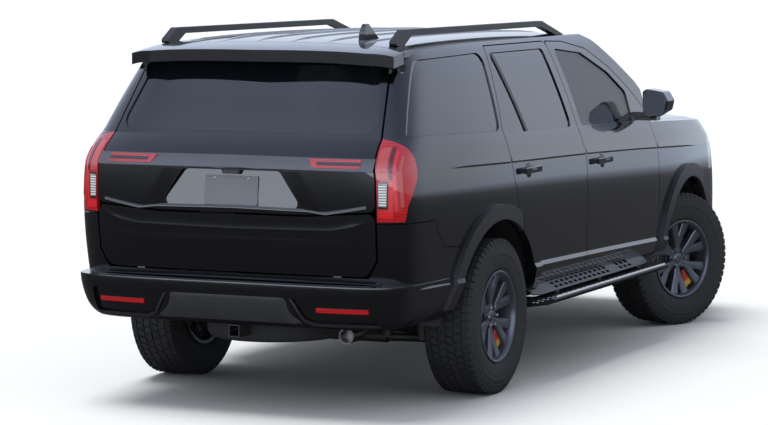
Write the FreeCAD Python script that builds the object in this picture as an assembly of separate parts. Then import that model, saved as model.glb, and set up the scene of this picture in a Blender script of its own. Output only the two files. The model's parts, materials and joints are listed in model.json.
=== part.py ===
import FreeCAD, Part
import os
from math import asin, atan2, cos, degrees, hypot, pi, radians, sin, tan

V = FreeCAD.Vector
os.makedirs("parts", exist_ok=True)

# A full-size body-on-frame utility vehicle. +X forward, +Y to its left, +Z up, millimetres.
# The origin is on the ground, midway along and across.

# Whole vehicle
body_length = 5334
body_width = 2056
body_height = 1925
wheelbase = 3112
rear_overhang = 1167
track = 1744
tyre_radius = 411
tyre_width = 279
steer_rest = -23

half_length = body_length / 2
half_width = body_width / 2
rear_axle_x = rear_overhang - half_length
front_axle_x = rear_axle_x + wheelbase
wheel_y = track / 2

# Gaps and walls that several pieces share
skin_gap = 6
core_gap = 13
gate_gap = 10
gate_core_gap = -8
seat_gap = 0.3
overrun = 200
skin = 25
door_wall = 110
belt_wall = 80
pillar_wall = 60
nose_wall = 35
jamb = 32

# Body sections from the sill up: height, rake, half width, rear reach, front reach, wall
section_shares = [
    (0.233, 0.3, 0.912, 0.937, 0.969),
    (0.260, 0.4, 0.951, 0.952, 0.993),
    (0.315, 0.7, 0.978, 0.962, 0.999),
    (0.326, 0.7, 0.969, 0.963, 1.0),
    (0.395, 0.8, 0.975, 0.973, 0.996),
    (0.478, 0.9, 0.980, 0.980, 0.988),
    (0.561, 1.0, 0.977, 0.980, 0.979),
    (0.616, 1.0, 0.966, 0.979, 0.972),
    (0.642, 1.0, 0.957, 0.972, 0.964),
    (0.670, 1.0, 0.945, 0.953, 0.937),
    (0.695, 1.0, 0.926, 0.929, 0.900),
    (0.753, 0.7, 0.897, 0.906, 0.900),
    (0.831, 0.4, 0.848, 0.872, 0.900),
    (0.906, 0.15, 0.796, 0.842, 0.900),
    (0.939, 0, 0.767, 0.827, 0.900),
    (0.956, 0, 0.732, 0.816, 0.900),
]
section_walls = [door_wall] * 8 + [belt_wall] * 3 + [pillar_wall] * 5
crease_rows = (0, 2, 3, 7, 10, 15)
shoulder_row = 8
belt_row = 10
crown_rise = 14
crown_inset = 55
crown_back = 60
rake_slope_share = 0.0331
rake_bend_share = 0.0091
rake_start_share = -0.056
front_taper = 110
front_taper_shares = (0.337, 0.900)
front_taper_power = 2.5
rear_taper = 65
rear_taper_shares = (-0.487, -0.919)
rear_taper_power = 2
front_corner = 550
rear_corner = 350
front_power = 3.2
rear_power = 5
front_corner_shares = (0, 0.12, 0.35, 0.58, 0.76, 0.89, 0.965, 1)
rear_corner_shares = (1, 0.985, 0.94, 0.86, 0.74, 0.55, 0.3, 0)
side_pole_count = 9
main_start = 4
nose_end = 14

# Side outlines, as shares of half the length and of the height
front_door_shares = [
    (0.375, 0.262), (0.383, 0.468), (0.379, 0.582), (0.363, 0.671), (0.349, 0.713), (0.281, 0.782),
    (0.195, 0.852), (0.094, 0.912), (-0.022, 0.938), (-0.117, 0.943), (-0.087, 0.691), (-0.074, 0.597),
    (-0.074, 0.262),
]
rear_door_shares = [
    (-0.0763, 0.262), (-0.0763, 0.597), (-0.0893, 0.691), (-0.1193, 0.943), (-0.446, 0.943),
    (-0.497, 0.717), (-0.490, 0.632), (-0.467, 0.531), (-0.454, 0.431), (-0.442, 0.262),
]
front_window_shares = [
    (0.257, 0.684), (0.257, 0.7735), (0.181, 0.838), (0.0585, 0.903), (-0.088, 0.922), (-0.062, 0.695),
]
rear_window_shares = [(-0.122, 0.697), (-0.150, 0.925), (-0.436, 0.925), (-0.484, 0.707)]
quarter_inner_shares = [(0.854, 0.70), (0.735, 0.95)]
quarter_window_shares = [(-0.509, 0.7165), (-0.474, 0.929), (-0.853, 0.920), (-0.915, 0.733)]
lamp_side_shares = [
    (-0.915, 0.730), (-0.899, 0.675), (-0.901, 0.626), (-0.933, 0.558), (-0.939, 0.516),
    (-1.046, 0.516), (-1.046, 0.730),
]
rear_bumper_side_shares = [
    (-0.562, 0.200), (-0.562, 0.400), (-0.656, 0.417), (-0.801, 0.437), (-0.830, 0.484), (-0.840, 0.512),
    (-1.046, 0.512), (-1.046, 0.200),
]
fender_shares = [
    (0.3773, 0.262), (0.3853, 0.468), (0.3813, 0.582), (0.3653, 0.671), (0.36, 0.78), (0.99, 0.78),
    (0.99, 0.583), (0.814, 0.583), (0.814, 0.483), (0.784, 0.402), (0.740, 0.380), (0.62, 0.262),
]
body_side_shares = [
    (0.418, 0.20), (0.418, 0.70), (0.400, 0.7226), (0.336, 0.80), (0.2445, 0.873), (0.156, 0.937),
    (0.10, 0.962), (0.0, 1.05), (-1.05, 1.05), (-1.05, 0.512), (-0.840, 0.512),
    (-0.830, 0.484), (-0.801, 0.437), (-0.656, 0.417), (-0.562, 0.400), (-0.562, 0.20),
]
rail_shares = [
    (-0.797, 0.958), (-0.744, 1.0), (-0.036, 1.0), (0.116, 0.947), (0.075, 0.947), (-0.041, 0.983),
    (-0.712, 0.983), (-0.746, 0.958),
]

# Rear outlines, half of each: shares of half the width and of the height
liftgate_shares = [(0.765, 0.543), (0.761, 0.623), (0.735, 0.725), (0.673, 0.914), (0.655, 1.02)]
seam_shares = (0.40, 0.530)
liftgate_glass_shares = [(0.716, 0.736), (0.632, 0.908)]
tailgate_shares = [(0.765, 0.543), (0.761, 0.416), (0.715, 0.373)]
recess_shares = [(0.268, 0.641), (0.392, 0.543)]
bar_shares = [(0.80, 0.6765), (0.80, 0.6455)]
slot_lamp_shares = [(0.689, 0.671), (0.419, 0.671), (0.445, 0.6505), (0.689, 0.6505)]
pocket_shares = [(0.782, 0.317), (0.335, 0.313), (0.40, 0.25), (0.772, 0.249)]
reflector_shares = [(0.741, 0.291), (0.476, 0.291), (0.476, 0.279), (0.741, 0.279)]
bar_rise = 4
pocket_depth = 16

# Wheels
rim_radius = 229
rim_flange = 14
rim_wall = 9
rim_width = 226
rim_lip = 16
hub_radius = 78
hub_bore = 32
face_recess = 34
dish_depth = 46
spoke_count = 6
spoke_thick = 30
spoke_root = 17
spoke_tip = 13
spoke_spread = 13
lug_circle = 67.5
lug_radius = 10
lug_rise = 12
disc_radius = 172
disc_thick = 30
disc_offset = 60
sidewall_bulge = 12
tread_crown = 8
tread_half = 112
tyre_sides = 48

# Arches
arch_radius = 505
arch_z = 418
arch_core_radius = 546
moulding_width = 80
moulding_rise = 25
liner_radius = 530
liner_wall = 7

# Roof, spoiler and rails
roof_skin = 30
roof_front_share = 0.205
roof_rear_share = -0.806
roof_edge_share = 0.732
rail_y = 660
rail_width = 42
fin_length = 175
fin_height = 62
fin_width = 46
fin_share = (-0.731, -0.438)
spoiler_depth = 60
spoiler_low_share = 0.950
spoiler_shares = [(-0.8085, 0.750), (-0.848, 0.775), (-0.872, 0.60), (-0.882, 0)]
roof_row_shares = [
    (0.24, 0.936), (0.20, 0.951), (0.10, 0.968), (-0.08, 0.9785), (-0.34, 0.9825), (-0.60, 0.981),
    (-0.78, 0.975), (-0.85, 0.961), (-0.90, 0.944),
]
roof_column_shares = (-1, -0.93, -0.8, -0.5, 0, 0.5, 0.8, 0.93, 1)
roof_drop_shares = (1, 0.62, 0.36, 0.11, 0, 0.11, 0.36, 0.62, 1)
roof_crown = 46

# Windshield
glass = 6
windshield_low_share = (0.506, 0.668)
windshield_top_share = (0.189, 0.957)
windshield_half_low = 935
windshield_half_top = 775
windshield_sweep_low = 165
windshield_sweep_top = 110
windshield_bulge = 34
windshield_glass_shares = [(0.855, 0.679), (0.80, 0.80), (0.70, 0.938)]
side_glass_inset = 8

# Hood
hood_skin = 35
hood_half_front = 845
hood_half_rear = 886
hood_dome = 46
hood_rear_share = 0.503
hood_sweep = 165
hood_column_shares = (-1, -0.85, -0.6, -0.3, 0, 0.3, 0.6, 0.85, 1)
hood_row_shares = (0.14, 0.32, 0.55, 0.8, 1)
hood_rear_shares = (0.66, 0.33, 0, -0.33, -0.66)
hood_edge_shares = [(0.424, 0.861), (0.62, 0.842), (0.75, 0.812), (0.83, 0.790), (1.05, 0.770)]
hood_hinge_rise = 4

# Nose
grille_half_share = 0.545
grille_low_share = 0.402
grille_top_share = 0.563
grille_border = 34
grille_bar = 26
grille_bars = 5
grille_depth = 40
grille_inset = 12
lamp_inner_share = 0.562
lamp_top_share = 0.579
intake_half_share = 0.50
intake_shares = (0.262, 0.330)
bumper_top_share = 0.481
bumper_wall = 60
bumper_step_shares = [
    (0.235, 0.890, 0.975), (0.249, 0.925, 0.990), (0.290, 0.962, 0.996), (0.333, 0.976, 1.0), (0.349, 0.976, 0.999),
]

# Underbody
floor_low = 497
floor_thick = 28
cargo_low = 672.5
kick_shares = (-0.24, -0.35)
firewall_x_share = 0.412
firewall_thick = 24
cowl_thick = 22
cowl_half_share = 0.80
frame_low = 370
frame_high = 482
frame_outer = 495
frame_wide = 90
frame_kick_rise = 130
cross_deep = 66
cross_wide = 90
cross_shares = (0.84, 0.44, 0.05, -0.30)
rear_cross_share = -0.945
puck_radius = 40
puck_shares = (0.34, 0.12, -0.16)
diff_radius = 120
diff_length = 300
diff_nose = 60
diff_nose_length = 240
tube_radius = 32
tube_spread = 200
tube_z = 300
post_radius = 28
tower_half = 60
tower_wide = 170
tower_high = 120
tower_top = 720
tower_plate = 28
tower_reach = 655
shaft_radius = 20
arm_radius = 24
arm_low = 130
arm_high = 135
arm_root_spread = 150
kingpin_y = 790
kingpin_radius = 18
kingpin_half = 175
upright_radius = 46
eye_radius = 38
eye_half = 26
damper_radius = 45
damper_y = 612
rear_damper_back = 95
spindle_reach = 52
caliper_half = 62
caliper_gap = 6
caliper_side = 16
caliper_out = 203
caliper_in = 110
engine_low = 365
engine_high = 1040
engine_half = 300
engine_shares = (0.46, 0.72)
gearbox_length = 620
gearbox_radius = 82
gearbox_z = 330
prop_radius = 22
pipe_radius = 30
pipe_bend = 120
pipe_y = -220
pipe_z = 375
pipe_over_y = -330
pipe_over_z = 478
tip_y = -584
tip_z = 407
tip_radius = 40
tip_length = 130
tip_rear = 2490
muffler_radius = 72
muffler_length = 460
muffler_rear_share = -0.265
spare_radius = 370
spare_width = 232
spare_hanger = 22
spare_low = 338
spare_share = -0.782
tank_shares = (-0.27, 0.02)
tank_wide = 270
tank_low = 320
tank_high = 470
board_top = 432
board_thick = 44
board_inner = 915
board_outer = 1060
board_lip = 35
board_rise = 62
board_shares = (-0.355, 0.355)
board_bracket = 60

# Cabin
seat_width = 500
seat_y = 370
seat_cushion = 160
seat_length = 520
seat_back = 130
seat_back_height = 640
seat_lean = 14
seat_head = 230
seat_head_high = 170
seat_head_thick = 90
front_seat_share = -0.03
second_seat_share = -0.345
third_seat_share = -0.60
seat_foot = 120
third_foot = 60
dash_rear_share = 0.24
dash_low = 760
dash_high = 1200
wheel_ring = 185
wheel_grip = 15
wheel_hub = 70
wheel_hub_deep = 50
wheel_tilt = 25
wheel_centre = (455, 375, 1090)
column_radius = 45
steer_ratio = 15

# Mirrors and handles
mirror_head = (140, 160, 176)
mirror_at = (735, 1094, 1420)
mirror_shares = [(0.5, 0.41), (0.34, 0.5), (-0.30, 0.41), (-0.5, 0.12), (-0.42, -0.21), (0.12, -0.5), (0.47, -0.41)]
mirror_round = 42
mirror_edge = 14
mirror_arm = (70, 150, 50)
mirror_arm_z = 1345
handle_length = 230
handle_high = 34
handle_out = 38
handle_end = 40
handle_thick = 16
handle_shares = ((0.010, 0.588), (-0.402, 0.600))

# Hitch and plate
hitch_half = 32
hitch_bore = 25.5
hitch_rear = 2585
hitch_length = 120
hitch_z = 414
hitch_pin_radius = 8
hitch_pin_in = 70
plate_hole_radius = 3
plate_hole_deep = 40
plate_spacing = 178
plate_z_share = 0.585
recess_x_share = 0.9685

# Hinge straps, each a short arc round its hinge line
door_hinge_y = 1014
door_strap_radius = 76
door_strap_thick = 14
door_strap_high = 44
door_strap_from = 80
door_strap_sweep = 60
strap_slack = 0.25
door_strap_shares = (0.37, 0.54)
strap_room = 6
strap_y = 560
hood_strap_y = 700
hood_strap_radius = 140
hood_strap_to = -17
gate_strap_radius = 84
gate_strap_from = 86
gate_strap_sweep = 40
gate_post_length = 26
tail_strap_radius = 70
tail_strap_to = 40
tail_pivot_share = -0.975
wheel_house_inner = 690
engine_mount = 60
floor_tongue_half = 700


# Two-dimensional outlines
def corner_arc(before, point, after, radius):
    into = (before[0] - point[0], before[1] - point[1])
    out = (after[0] - point[0], after[1] - point[1])
    a, b = hypot(*into), hypot(*out)
    into, out = (into[0] / a, into[1] / a), (out[0] / b, out[1] / b)
    inside = abs(atan2(into[0] * out[1] - into[1] * out[0], into[0] * out[0] + into[1] * out[1]))
    if pi - inside < 0.02:
        return None
    reach = min(radius / tan(inside / 2), 0.45 * min(a, b))
    radius = reach * tan(inside / 2)
    half = (into[0] + out[0], into[1] + out[1])
    size = hypot(*half)
    far = radius / sin(inside / 2) - radius
    first = (point[0] + into[0] * reach, point[1] + into[1] * reach)
    last = (point[0] + out[0] * reach, point[1] + out[1] * reach)
    middle = (point[0] + half[0] / size * far, point[1] + half[1] / size * far)
    return first, middle, last


def grown(points, amount):
    area = 0
    count = len(points)
    for i in range(count):
        a, b = points[i], points[(i + 1) % count]
        area += a[0] * b[1] - b[0] * a[1]
    side = amount if area > 0 else -amount
    result = []
    for i in range(count):
        a, b, c = points[i - 1], points[i], points[(i + 1) % count]
        first, second = (b[0] - a[0], b[1] - a[1]), (c[0] - b[0], c[1] - b[1])
        n1 = (first[1] / hypot(*first), -first[0] / hypot(*first))
        n2 = (second[1] / hypot(*second), -second[0] / hypot(*second))
        share = 1 + n1[0] * n2[0] + n1[1] * n2[1]
        result.append((b[0] + side * (n1[0] + n2[0]) / share, b[1] + side * (n1[1] + n2[1]) / share))
    return result


def wire(points, radius, place):
    edges = []
    count = len(points)
    ends = []
    for i in range(count):
        round_off = radius and corner_arc(points[i - 1], points[i], points[(i + 1) % count], radius)
        if round_off:
            first, middle, last = [place(*p) for p in round_off]
            edges.append(Part.Arc(first, middle, last).toShape())
            ends.append((first, last))
        else:
            edges.append(None)
            ends.append((place(*points[i]), place(*points[i])))
    ordered = []
    for i in range(count):
        if edges[i]:
            ordered.append(edges[i])
        a, b = ends[i][1], ends[(i + 1) % count][0]
        if a.distanceToPoint(b) > 0.001:
            ordered.append(Part.LineSegment(a, b).toShape())
    return Part.Wire(ordered)


def prism_y(points, low, high, radius=0):
    face = Part.Face(wire(points, radius, lambda a, b: V(a, low, b)))
    return face.extrude(V(0, high - low, 0))


def prism_x(points, low, high, radius=0):
    face = Part.Face(wire(points, radius, lambda a, b: V(low, a, b)))
    return face.extrude(V(high - low, 0, 0))


def prism_z(points, low, high, radius=0):
    face = Part.Face(wire(points, radius, lambda a, b: V(a, b, low)))
    return face.extrude(V(0, 0, high - low))


def box(x, y, z):
    return Part.makeBox(x[1] - x[0], y[1] - y[0], z[1] - z[0], V(x[0], y[0], z[0]))


def rod(a, b, radius):
    a, b = V(*a), V(*b)
    return Part.makeCylinder(radius, a.distanceToPoint(b), a, b - a)


def joined(shapes):
    result = shapes[0]
    if len(shapes) > 1:
        result = result.fuse(shapes[1:])
    return result.removeSplitter()


def mirrored(shape):
    return shape.mirror(V(0, 0, 0), V(0, 1, 0))


def both_ways(half):
    return list(half) + [(-y, z) for y, z in reversed(half)]


def side_points(shares):
    return [(x * half_length, z * body_height) for x, z in shares]


def rear_points(shares):
    return [(y * half_width, z * body_height) for y, z in shares]


# Smooth faces from rows of control points
def knots(count, degree):
    values = list(range(count - degree + 1))
    return values, [degree + 1] + [1] * (count - degree - 1) + [degree + 1]


def smooth_face(rows):
    across, along = len(rows), len(rows[0])
    degree_u, degree_v = min(3, along - 1), min(3, across - 1)
    values_u, times_u = knots(along, degree_u)
    values_v, times_v = knots(across, degree_v)
    poles = [[rows[j][i] for j in range(across)] for i in range(along)]
    surface = Part.BSplineSurface()
    surface.buildFromPolesMultsKnots(
        poles, times_u, times_v, values_u, values_v, False, False, degree_u, degree_v)
    return surface.toShape()


def slab(outer, inner, breaks):
    faces = []
    for low, high in zip(breaks, breaks[1:]):
        out, back = outer[low:high + 1], inner[low:high + 1]
        faces += [smooth_face(out), smooth_face(back)]
        for end in (0, -1):
            faces.append(smooth_face([[row[end] for row in out], [row[end] for row in back]]))
    faces.append(smooth_face([outer[0], inner[0]]))
    faces.append(smooth_face([outer[-1], inner[-1]]))
    solid = Part.Solid(Part.makeShell(faces))
    if solid.Volume < 0:
        solid.reverse()
    return solid


# The body's outline at each section
def rake(x):
    d = x - rake_start_share * half_length
    return -rake_slope_share * d - rake_bend_share * d * d / half_length


def taper(x):
    start, end = [s * half_length for s in front_taper_shares]
    if x > start:
        return front_taper * ((x - start) / (end - start)) ** front_taper_power
    start, end = [s * half_length for s in rear_taper_shares]
    if x < start:
        return rear_taper * ((x - start) / (end - start)) ** rear_taper_power
    return 0


def corner(share, power):
    return (1 - min(share, 1) ** power) ** (1 / power)


def section(row):
    height, lift, half, rear, front = section_shares[row]
    return height * body_height, lift, half * half_width, -rear * half_length, front * half_length


def half_loop(values, inset):
    height, lift, half, rear, front = values
    half, rear, front = half - inset, rear + inset, front - inset
    front_start, rear_start = front - front_corner + inset, rear + rear_corner - inset
    plan = []
    width = half - taper(front_start)
    for share in front_corner_shares:
        plan.append((front_start + (front - front_start) * corner(share, front_power), share * width))
    for i in range(side_pole_count):
        x = front_start + (rear_start - front_start) * (i + 1) / (side_pole_count + 1)
        plan.append((x, half - taper(x)))
    width = half - taper(rear_start)
    for share in rear_corner_shares:
        plan.append((rear_start + (rear - rear_start) * corner(share, rear_power), share * width))
    return [V(x, -y, height + lift * rake(x)) for x, y in plan]


def flip(poles):
    return [V(p.x, -p.y, p.z) for p in reversed(poles)]


def around_rear(poles, start):
    return poles[start:] + flip(poles[start:-1])


def around_nose(poles, end):
    return flip(poles[1:end]) + poles[:end]


def main_strip(outer, inner, extra=0):
    outside = [around_rear(half_loop(section(r), outer), main_start) for r in range(len(section_shares))]
    depths = [section_walls[r] + extra if inner is None else inner for r in range(len(section_shares))]
    inside = [around_rear(half_loop(section(r), depths[r]), main_start) for r in range(len(section_shares))]
    return slab(outside, inside, crease_rows)


def crown_section():
    height, lift, half, rear, front = section(belt_row)
    return height + crown_rise, lift, half - crown_inset, rear, front - crown_back


def nose_strip(outer, inner):
    sections = [section(r) for r in range(belt_row + 1)] + [crown_section()]
    outside = [around_nose(half_loop(s, outer), nose_end) for s in sections]
    inside = [around_nose(half_loop(s, inner), nose_end) for s in sections]
    return slab(outside, inside, (0, 2, 3, 7, belt_row, belt_row + 1))


right_far = -half_width - overrun
right_near = -half_width / 2


def right_side(shares, radius=0, grow=0, far=right_far, near=right_near):
    return prism_y(grown(side_points(shares), grow), far, near, radius)


pieces = {}


def keep(name, *shapes):
    solids = []
    for shape in shapes:
        solids += shape.Solids
    pieces[name] = solids[0] if len(solids) == 1 else Part.makeCompound(solids)


def keep_pair(name, shape):
    keep(name + "_right", shape)
    keep(name + "_left", mirrored(shape))


# Shared strips of the body
outer_skin = main_strip(0, skin)
door_core = main_strip(skin, None)
body_core = main_strip(skin + skin_gap, None)
pane_strip = main_strip(side_glass_inset, side_glass_inset + glass)
nose_skin = nose_strip(0, nose_wall)


def arch_cut(x, radius, far=right_far, near=right_near):
    return Part.makeCylinder(radius, near - far, V(x, far, arch_z), V(0, 1, 0))


rear_arch = arch_cut(rear_axle_x, arch_radius)
front_arch = arch_cut(front_axle_x, arch_radius)


# Roof panel, one shallow crowned sheet
def roof_rows(drop):
    rows = []
    for x_share, z_share in roof_row_shares:
        x, z = x_share * half_length, z_share * body_height - drop
        row = []
        for y_share, fall in zip(roof_column_shares, roof_drop_shares):
            row.append(V(x, y_share * roof_edge_share * half_width, z - fall * roof_crown))
        rows.append(row)
    return rows


def roof_block(thick):
    rows = roof_rows(0)
    return slab(rows, roof_rows(thick), (0, len(rows) - 1))


# Windshield surface, swept back towards its sides
def windshield_rows(forward):
    low = (windshield_low_share[0] * half_length, windshield_low_share[1] * body_height)
    top = (windshield_top_share[0] * half_length, windshield_top_share[1] * body_height)
    rise = V(top[0] - low[0], 0, top[1] - low[1])
    normal = V(rise.z, 0, -rise.x).normalize()
    rows = []
    for share in (-0.08, 0.2, 0.5, 0.8, 1.1):
        bulge = 4 * windshield_bulge * share * (1 - share)
        middle = V(low[0], 0, low[1]) + rise * share + normal * (bulge + forward)
        half = windshield_half_low + (windshield_half_top - windshield_half_low) * share
        sweep = windshield_sweep_low + (windshield_sweep_top - windshield_sweep_low) * share
        rows.append([
            V(middle.x - sweep * y * y, y * half, middle.z) for y in (-1, -0.75, -0.4, 0, 0.4, 0.75, 1)])
    return rows


def windshield_slab(back, front):
    rows = windshield_rows(back)
    return slab(windshield_rows(front), rows, (0, len(rows) - 1))


windshield_points = rear_points(windshield_glass_shares)
windshield_opening = both_ways(windshield_points)
windshield = windshield_slab(0, glass).common(
    prism_x(windshield_opening, 0, half_length, 3 * mirror_round))
windshield_ahead = windshield_slab(-seat_gap, 3 * overrun)

roof_plan = [
    (roof_front_share * half_length + overrun, -roof_edge_share * half_width),
    (roof_front_share * half_length + overrun, roof_edge_share * half_width),
    (roof_rear_share * half_length, roof_edge_share * half_width),
    (roof_rear_share * half_length, -roof_edge_share * half_width),
]
roof = roof_block(roof_skin).common(prism_z(roof_plan, 0, 2 * body_height)).cut(windshield_ahead)
for shares in (front_door_shares, rear_door_shares):
    door_room = right_side(shares, 0, skin_gap)
    roof = roof.cut([door_room, mirrored(door_room)])


# Moulding round each arch
def moulding(strip, x):
    outline = arch_cut(x, arch_radius + moulding_width).cut(arch_cut(x, arch_radius))
    above = box((x - half_length, x + half_length), (right_far, right_near),
                (front_door_shares[0][1] * body_height, body_height))
    return strip.common(outline).common(above)


rear_moulding = moulding(main_strip(-moulding_rise, 0), rear_axle_x)
front_moulding = moulding(nose_strip(-moulding_rise, 0), front_axle_x)


# Hinge straps: an arc round the hinge line that the moving panel carries
def strap(pivot, axis, start, radius, thick, wide, first, sweep):
    out = FreeCAD.Rotation(axis, first).multVec(start)
    corners = []
    for a, b in ((-1, -1), (1, -1), (1, 1), (-1, 1)):
        corners.append(pivot + out * (radius + a * thick / 2) + axis * (b * wide / 2))
    face = Part.Face(Part.makePolygon(corners + corners[:1]))
    return face.revolve(pivot, axis, sweep)


# Doors
door_round = 30
door_fronts = (front_door_shares[1][0], rear_door_shares[0][0])


def door_straps(front_share):
    arms, rooms = [], []
    for z_share in door_strap_shares:
        pivot = V(front_share * half_length, -door_hinge_y, z_share * body_height)
        arms.append(strap(pivot, V(0, 0, 1), V(1, 0, 0), door_strap_radius, door_strap_thick,
                          door_strap_high, door_strap_from, door_strap_sweep))
        rooms.append(strap(pivot, V(0, 0, 1), V(1, 0, 0), door_strap_radius, door_strap_thick + 2 * strap_room,
                           door_strap_high + 2 * strap_room, door_strap_from - strap_slack, door_strap_sweep))
    return arms, rooms


def door_panel(shares, window, arch):
    panel = outer_skin.common(right_side(shares, door_round))
    core = door_core.common(right_side(shares, door_round, -jamb))
    if arch:
        panel = panel.cut(arch)
        core = core.cut(arch_cut(rear_axle_x, arch_core_radius))
    door = joined([panel, core])
    return door.cut(right_side(window, door_round))


def handle(place):
    x, z = place[0] * half_length, place[1] * body_height
    far = -half_width - handle_out + (half_width - section_shares[7][2] * half_width)
    bar = box((x - handle_length / 2, x + handle_length / 2), (far, far + handle_thick),
              (z - handle_high / 2, z + handle_high / 2))
    bar = bar.makeFillet(handle_thick / 3, bar.Edges)
    solids = [bar]
    for end in (-1, 1):
        middle = x + end * (handle_length - handle_end) / 2
        solids.append(box((middle - handle_end / 3, middle + handle_end / 3),
                          (far + handle_thick / 2, -half_width + skin + skin),
                          (z - handle_high / 3, z + handle_high / 3)))
    return solids


front_door = door_panel(front_door_shares, front_window_shares, None)
front_arms, front_rooms = door_straps(door_fronts[0])
rear_arms, rear_rooms = door_straps(door_fronts[1])
front_door = joined([front_door] + handle(handle_shares[0]) + front_arms)
rear_door = door_panel(rear_door_shares, rear_window_shares, rear_arch)
door_moulding = rear_moulding.common(right_side(rear_door_shares))
rear_door = joined([rear_door, door_moulding] + handle(handle_shares[1]) + rear_arms)
rear_moulding = rear_moulding.cut(right_side(rear_door_shares, 0, skin_gap))
keep_pair("front_door", front_door)
keep_pair("rear_door", rear_door)


def pane(window, radius):
    return pane_strip.common(right_side(window, radius, -seat_gap))


def behind(points, grow, radius=0):
    return prism_x(grown(points, grow), -half_length - overrun, -half_length / 2, radius)


keep_pair("front_door_glass", pane(front_window_shares, door_round))
keep_pair("rear_door_glass", pane(rear_window_shares, door_round))
quarter_inner = both_ways(rear_points(quarter_inner_shares))
quarter_pane = pane(quarter_window_shares, 2 * door_round).cut(behind(quarter_inner, seat_gap))
quarter_hole = right_side(quarter_window_shares, 2 * door_round).cut(behind(quarter_inner, 0))
keep("fixed_glass", windshield, quarter_pane, mirrored(quarter_pane))

# Gate outlines and the lamps beside them
seam_middle = [(seam_shares[0] * half_width, seam_shares[1] * body_height)]
liftgate_points = both_ways(seam_middle + rear_points(liftgate_shares))
tailgate_points = both_ways(seam_middle + rear_points(tailgate_shares))
both_gates = both_ways(rear_points(tailgate_shares)[::-1] + rear_points(liftgate_shares)[1:])
lamp_region = right_side(lamp_side_shares).cut(behind(both_gates, gate_gap))
lamp_clear = right_side(lamp_side_shares, 0, seat_gap).cut(behind(both_gates, gate_gap))
tail_lamp = outer_skin.common(lamp_region)
tail_lamp = tail_lamp.cut(box((-2 * half_length, 0), (right_near, half_width), (0, body_height)))

# Fixed side of the body
side_region = right_side(body_side_shares)
roof_rear_x = roof_rear_share * half_length
spoiler_low = spoiler_low_share * body_height - roof_crown - spoiler_depth
spoiler_half = roof_edge_share * half_width
spoiler_room = box((-2 * half_length, roof_rear_x), (-spoiler_half - gate_gap, spoiler_half + gate_gap),
                   (spoiler_low - gate_gap, 2 * body_height))
side_skin = outer_skin.common(side_region).cut([
    right_side(front_door_shares, door_round, skin_gap),
    right_side(rear_door_shares, door_round, skin_gap),
    quarter_hole,
    right_side(fender_shares, 0, skin_gap),
    rear_arch,
    front_arch,
    behind(both_gates, gate_gap),
    lamp_clear,
    windshield_ahead,
    roof,
    spoiler_room,
])
fender_clear = nose_strip(-moulding_rise, nose_wall + skin_gap).common(right_side(fender_shares, 0, skin_gap))
core_region = side_region.cut([
    right_side(front_door_shares, door_round, core_gap - jamb),
    right_side(rear_door_shares, door_round, core_gap - jamb),
    quarter_hole,
    arch_cut(rear_axle_x, arch_core_radius),
    arch_cut(front_axle_x, arch_core_radius),
    behind(both_gates, gate_core_gap),
    spoiler_room,
] + front_rooms + rear_rooms)
side_core = body_core.common(core_region).cut([fender_clear, windshield_ahead, roof])
bridge = main_strip(skin, skin + skin_gap).common(side_region).cut([
    right_side(front_door_shares, door_round, core_gap),
    right_side(rear_door_shares, door_round, core_gap),
    quarter_hole,
    fender_clear,
    arch_cut(rear_axle_x, arch_core_radius),
    arch_cut(front_axle_x, arch_core_radius),
    behind(both_gates, gate_gap),
    lamp_clear,
    windshield_ahead,
    roof,
    spoiler_room,
] + front_rooms + rear_rooms)
body_side = joined([side_skin, bridge, side_core])
body_side = max(body_side.Solids, key=lambda solid: solid.Volume)
keep_pair("body_side", body_side)
keep("tail_lamps", tail_lamp, mirrored(tail_lamp))

# Hood, with a rolled front edge that follows the nose
hood_rear_x = hood_rear_share * half_length


def nose_line(values, y):
    front, half = values[4], values[2]
    start = front - front_corner
    x = start + front_corner * corner(abs(y) / (half - taper(start)), front_power)
    return x, values[0] + values[1] * rake(x)


def hood_rows(drop):
    fronts = [section(shoulder_row), section(shoulder_row + 1), section(belt_row), crown_section()]
    rows = []
    for values, dome in zip(fronts, (0, 0.2, 0.45, 0.65)):
        row = []
        for share in hood_column_shares:
            x, z = nose_line(values, share * hood_half_front)
            row.append(V(x, share * hood_half_front, z + dome * hood_dome * (1 - share * share) - drop))
        rows.append(row)
    for back in hood_row_shares:
        row = []
        for share, ahead in zip(hood_column_shares, rows[3]):
            x = ahead.x + (hood_rear_x - hood_sweep * share * share - ahead.x) * back
            y = share * (hood_half_front + (hood_half_rear - hood_half_front) * back)
            z = crown_section()[0] + rake(x) + hood_dome * (1 - share * share) - drop
            row.append(V(x, y, z))
        rows.append(row)
    return rows


hood_points = [(x * half_length, -y * half_width) for x, y in hood_edge_shares]
hood_points += [(x, -y) for x, y in reversed(hood_points)]
rear_edge = [(hood_rear_x - hood_sweep * s * s, s * hood_edge_shares[0][1] * half_width)
             for s in hood_rear_shares]
hood_outline = hood_points + rear_edge
rows = hood_rows(0)
hood = slab(rows, hood_rows(hood_skin), (0, len(rows) - 1))
hood = hood.common(prism_z(hood_outline, 0, 2 * body_height))

fender = nose_skin.common(right_side(fender_shares))
hood_clear = prism_z(grown(hood_outline, skin_gap), section(shoulder_row)[0] / 2, 2 * body_height)
fender = fender.cut([hood_clear, front_arch])
keep("front_fenders", fender, mirrored(fender))

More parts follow.
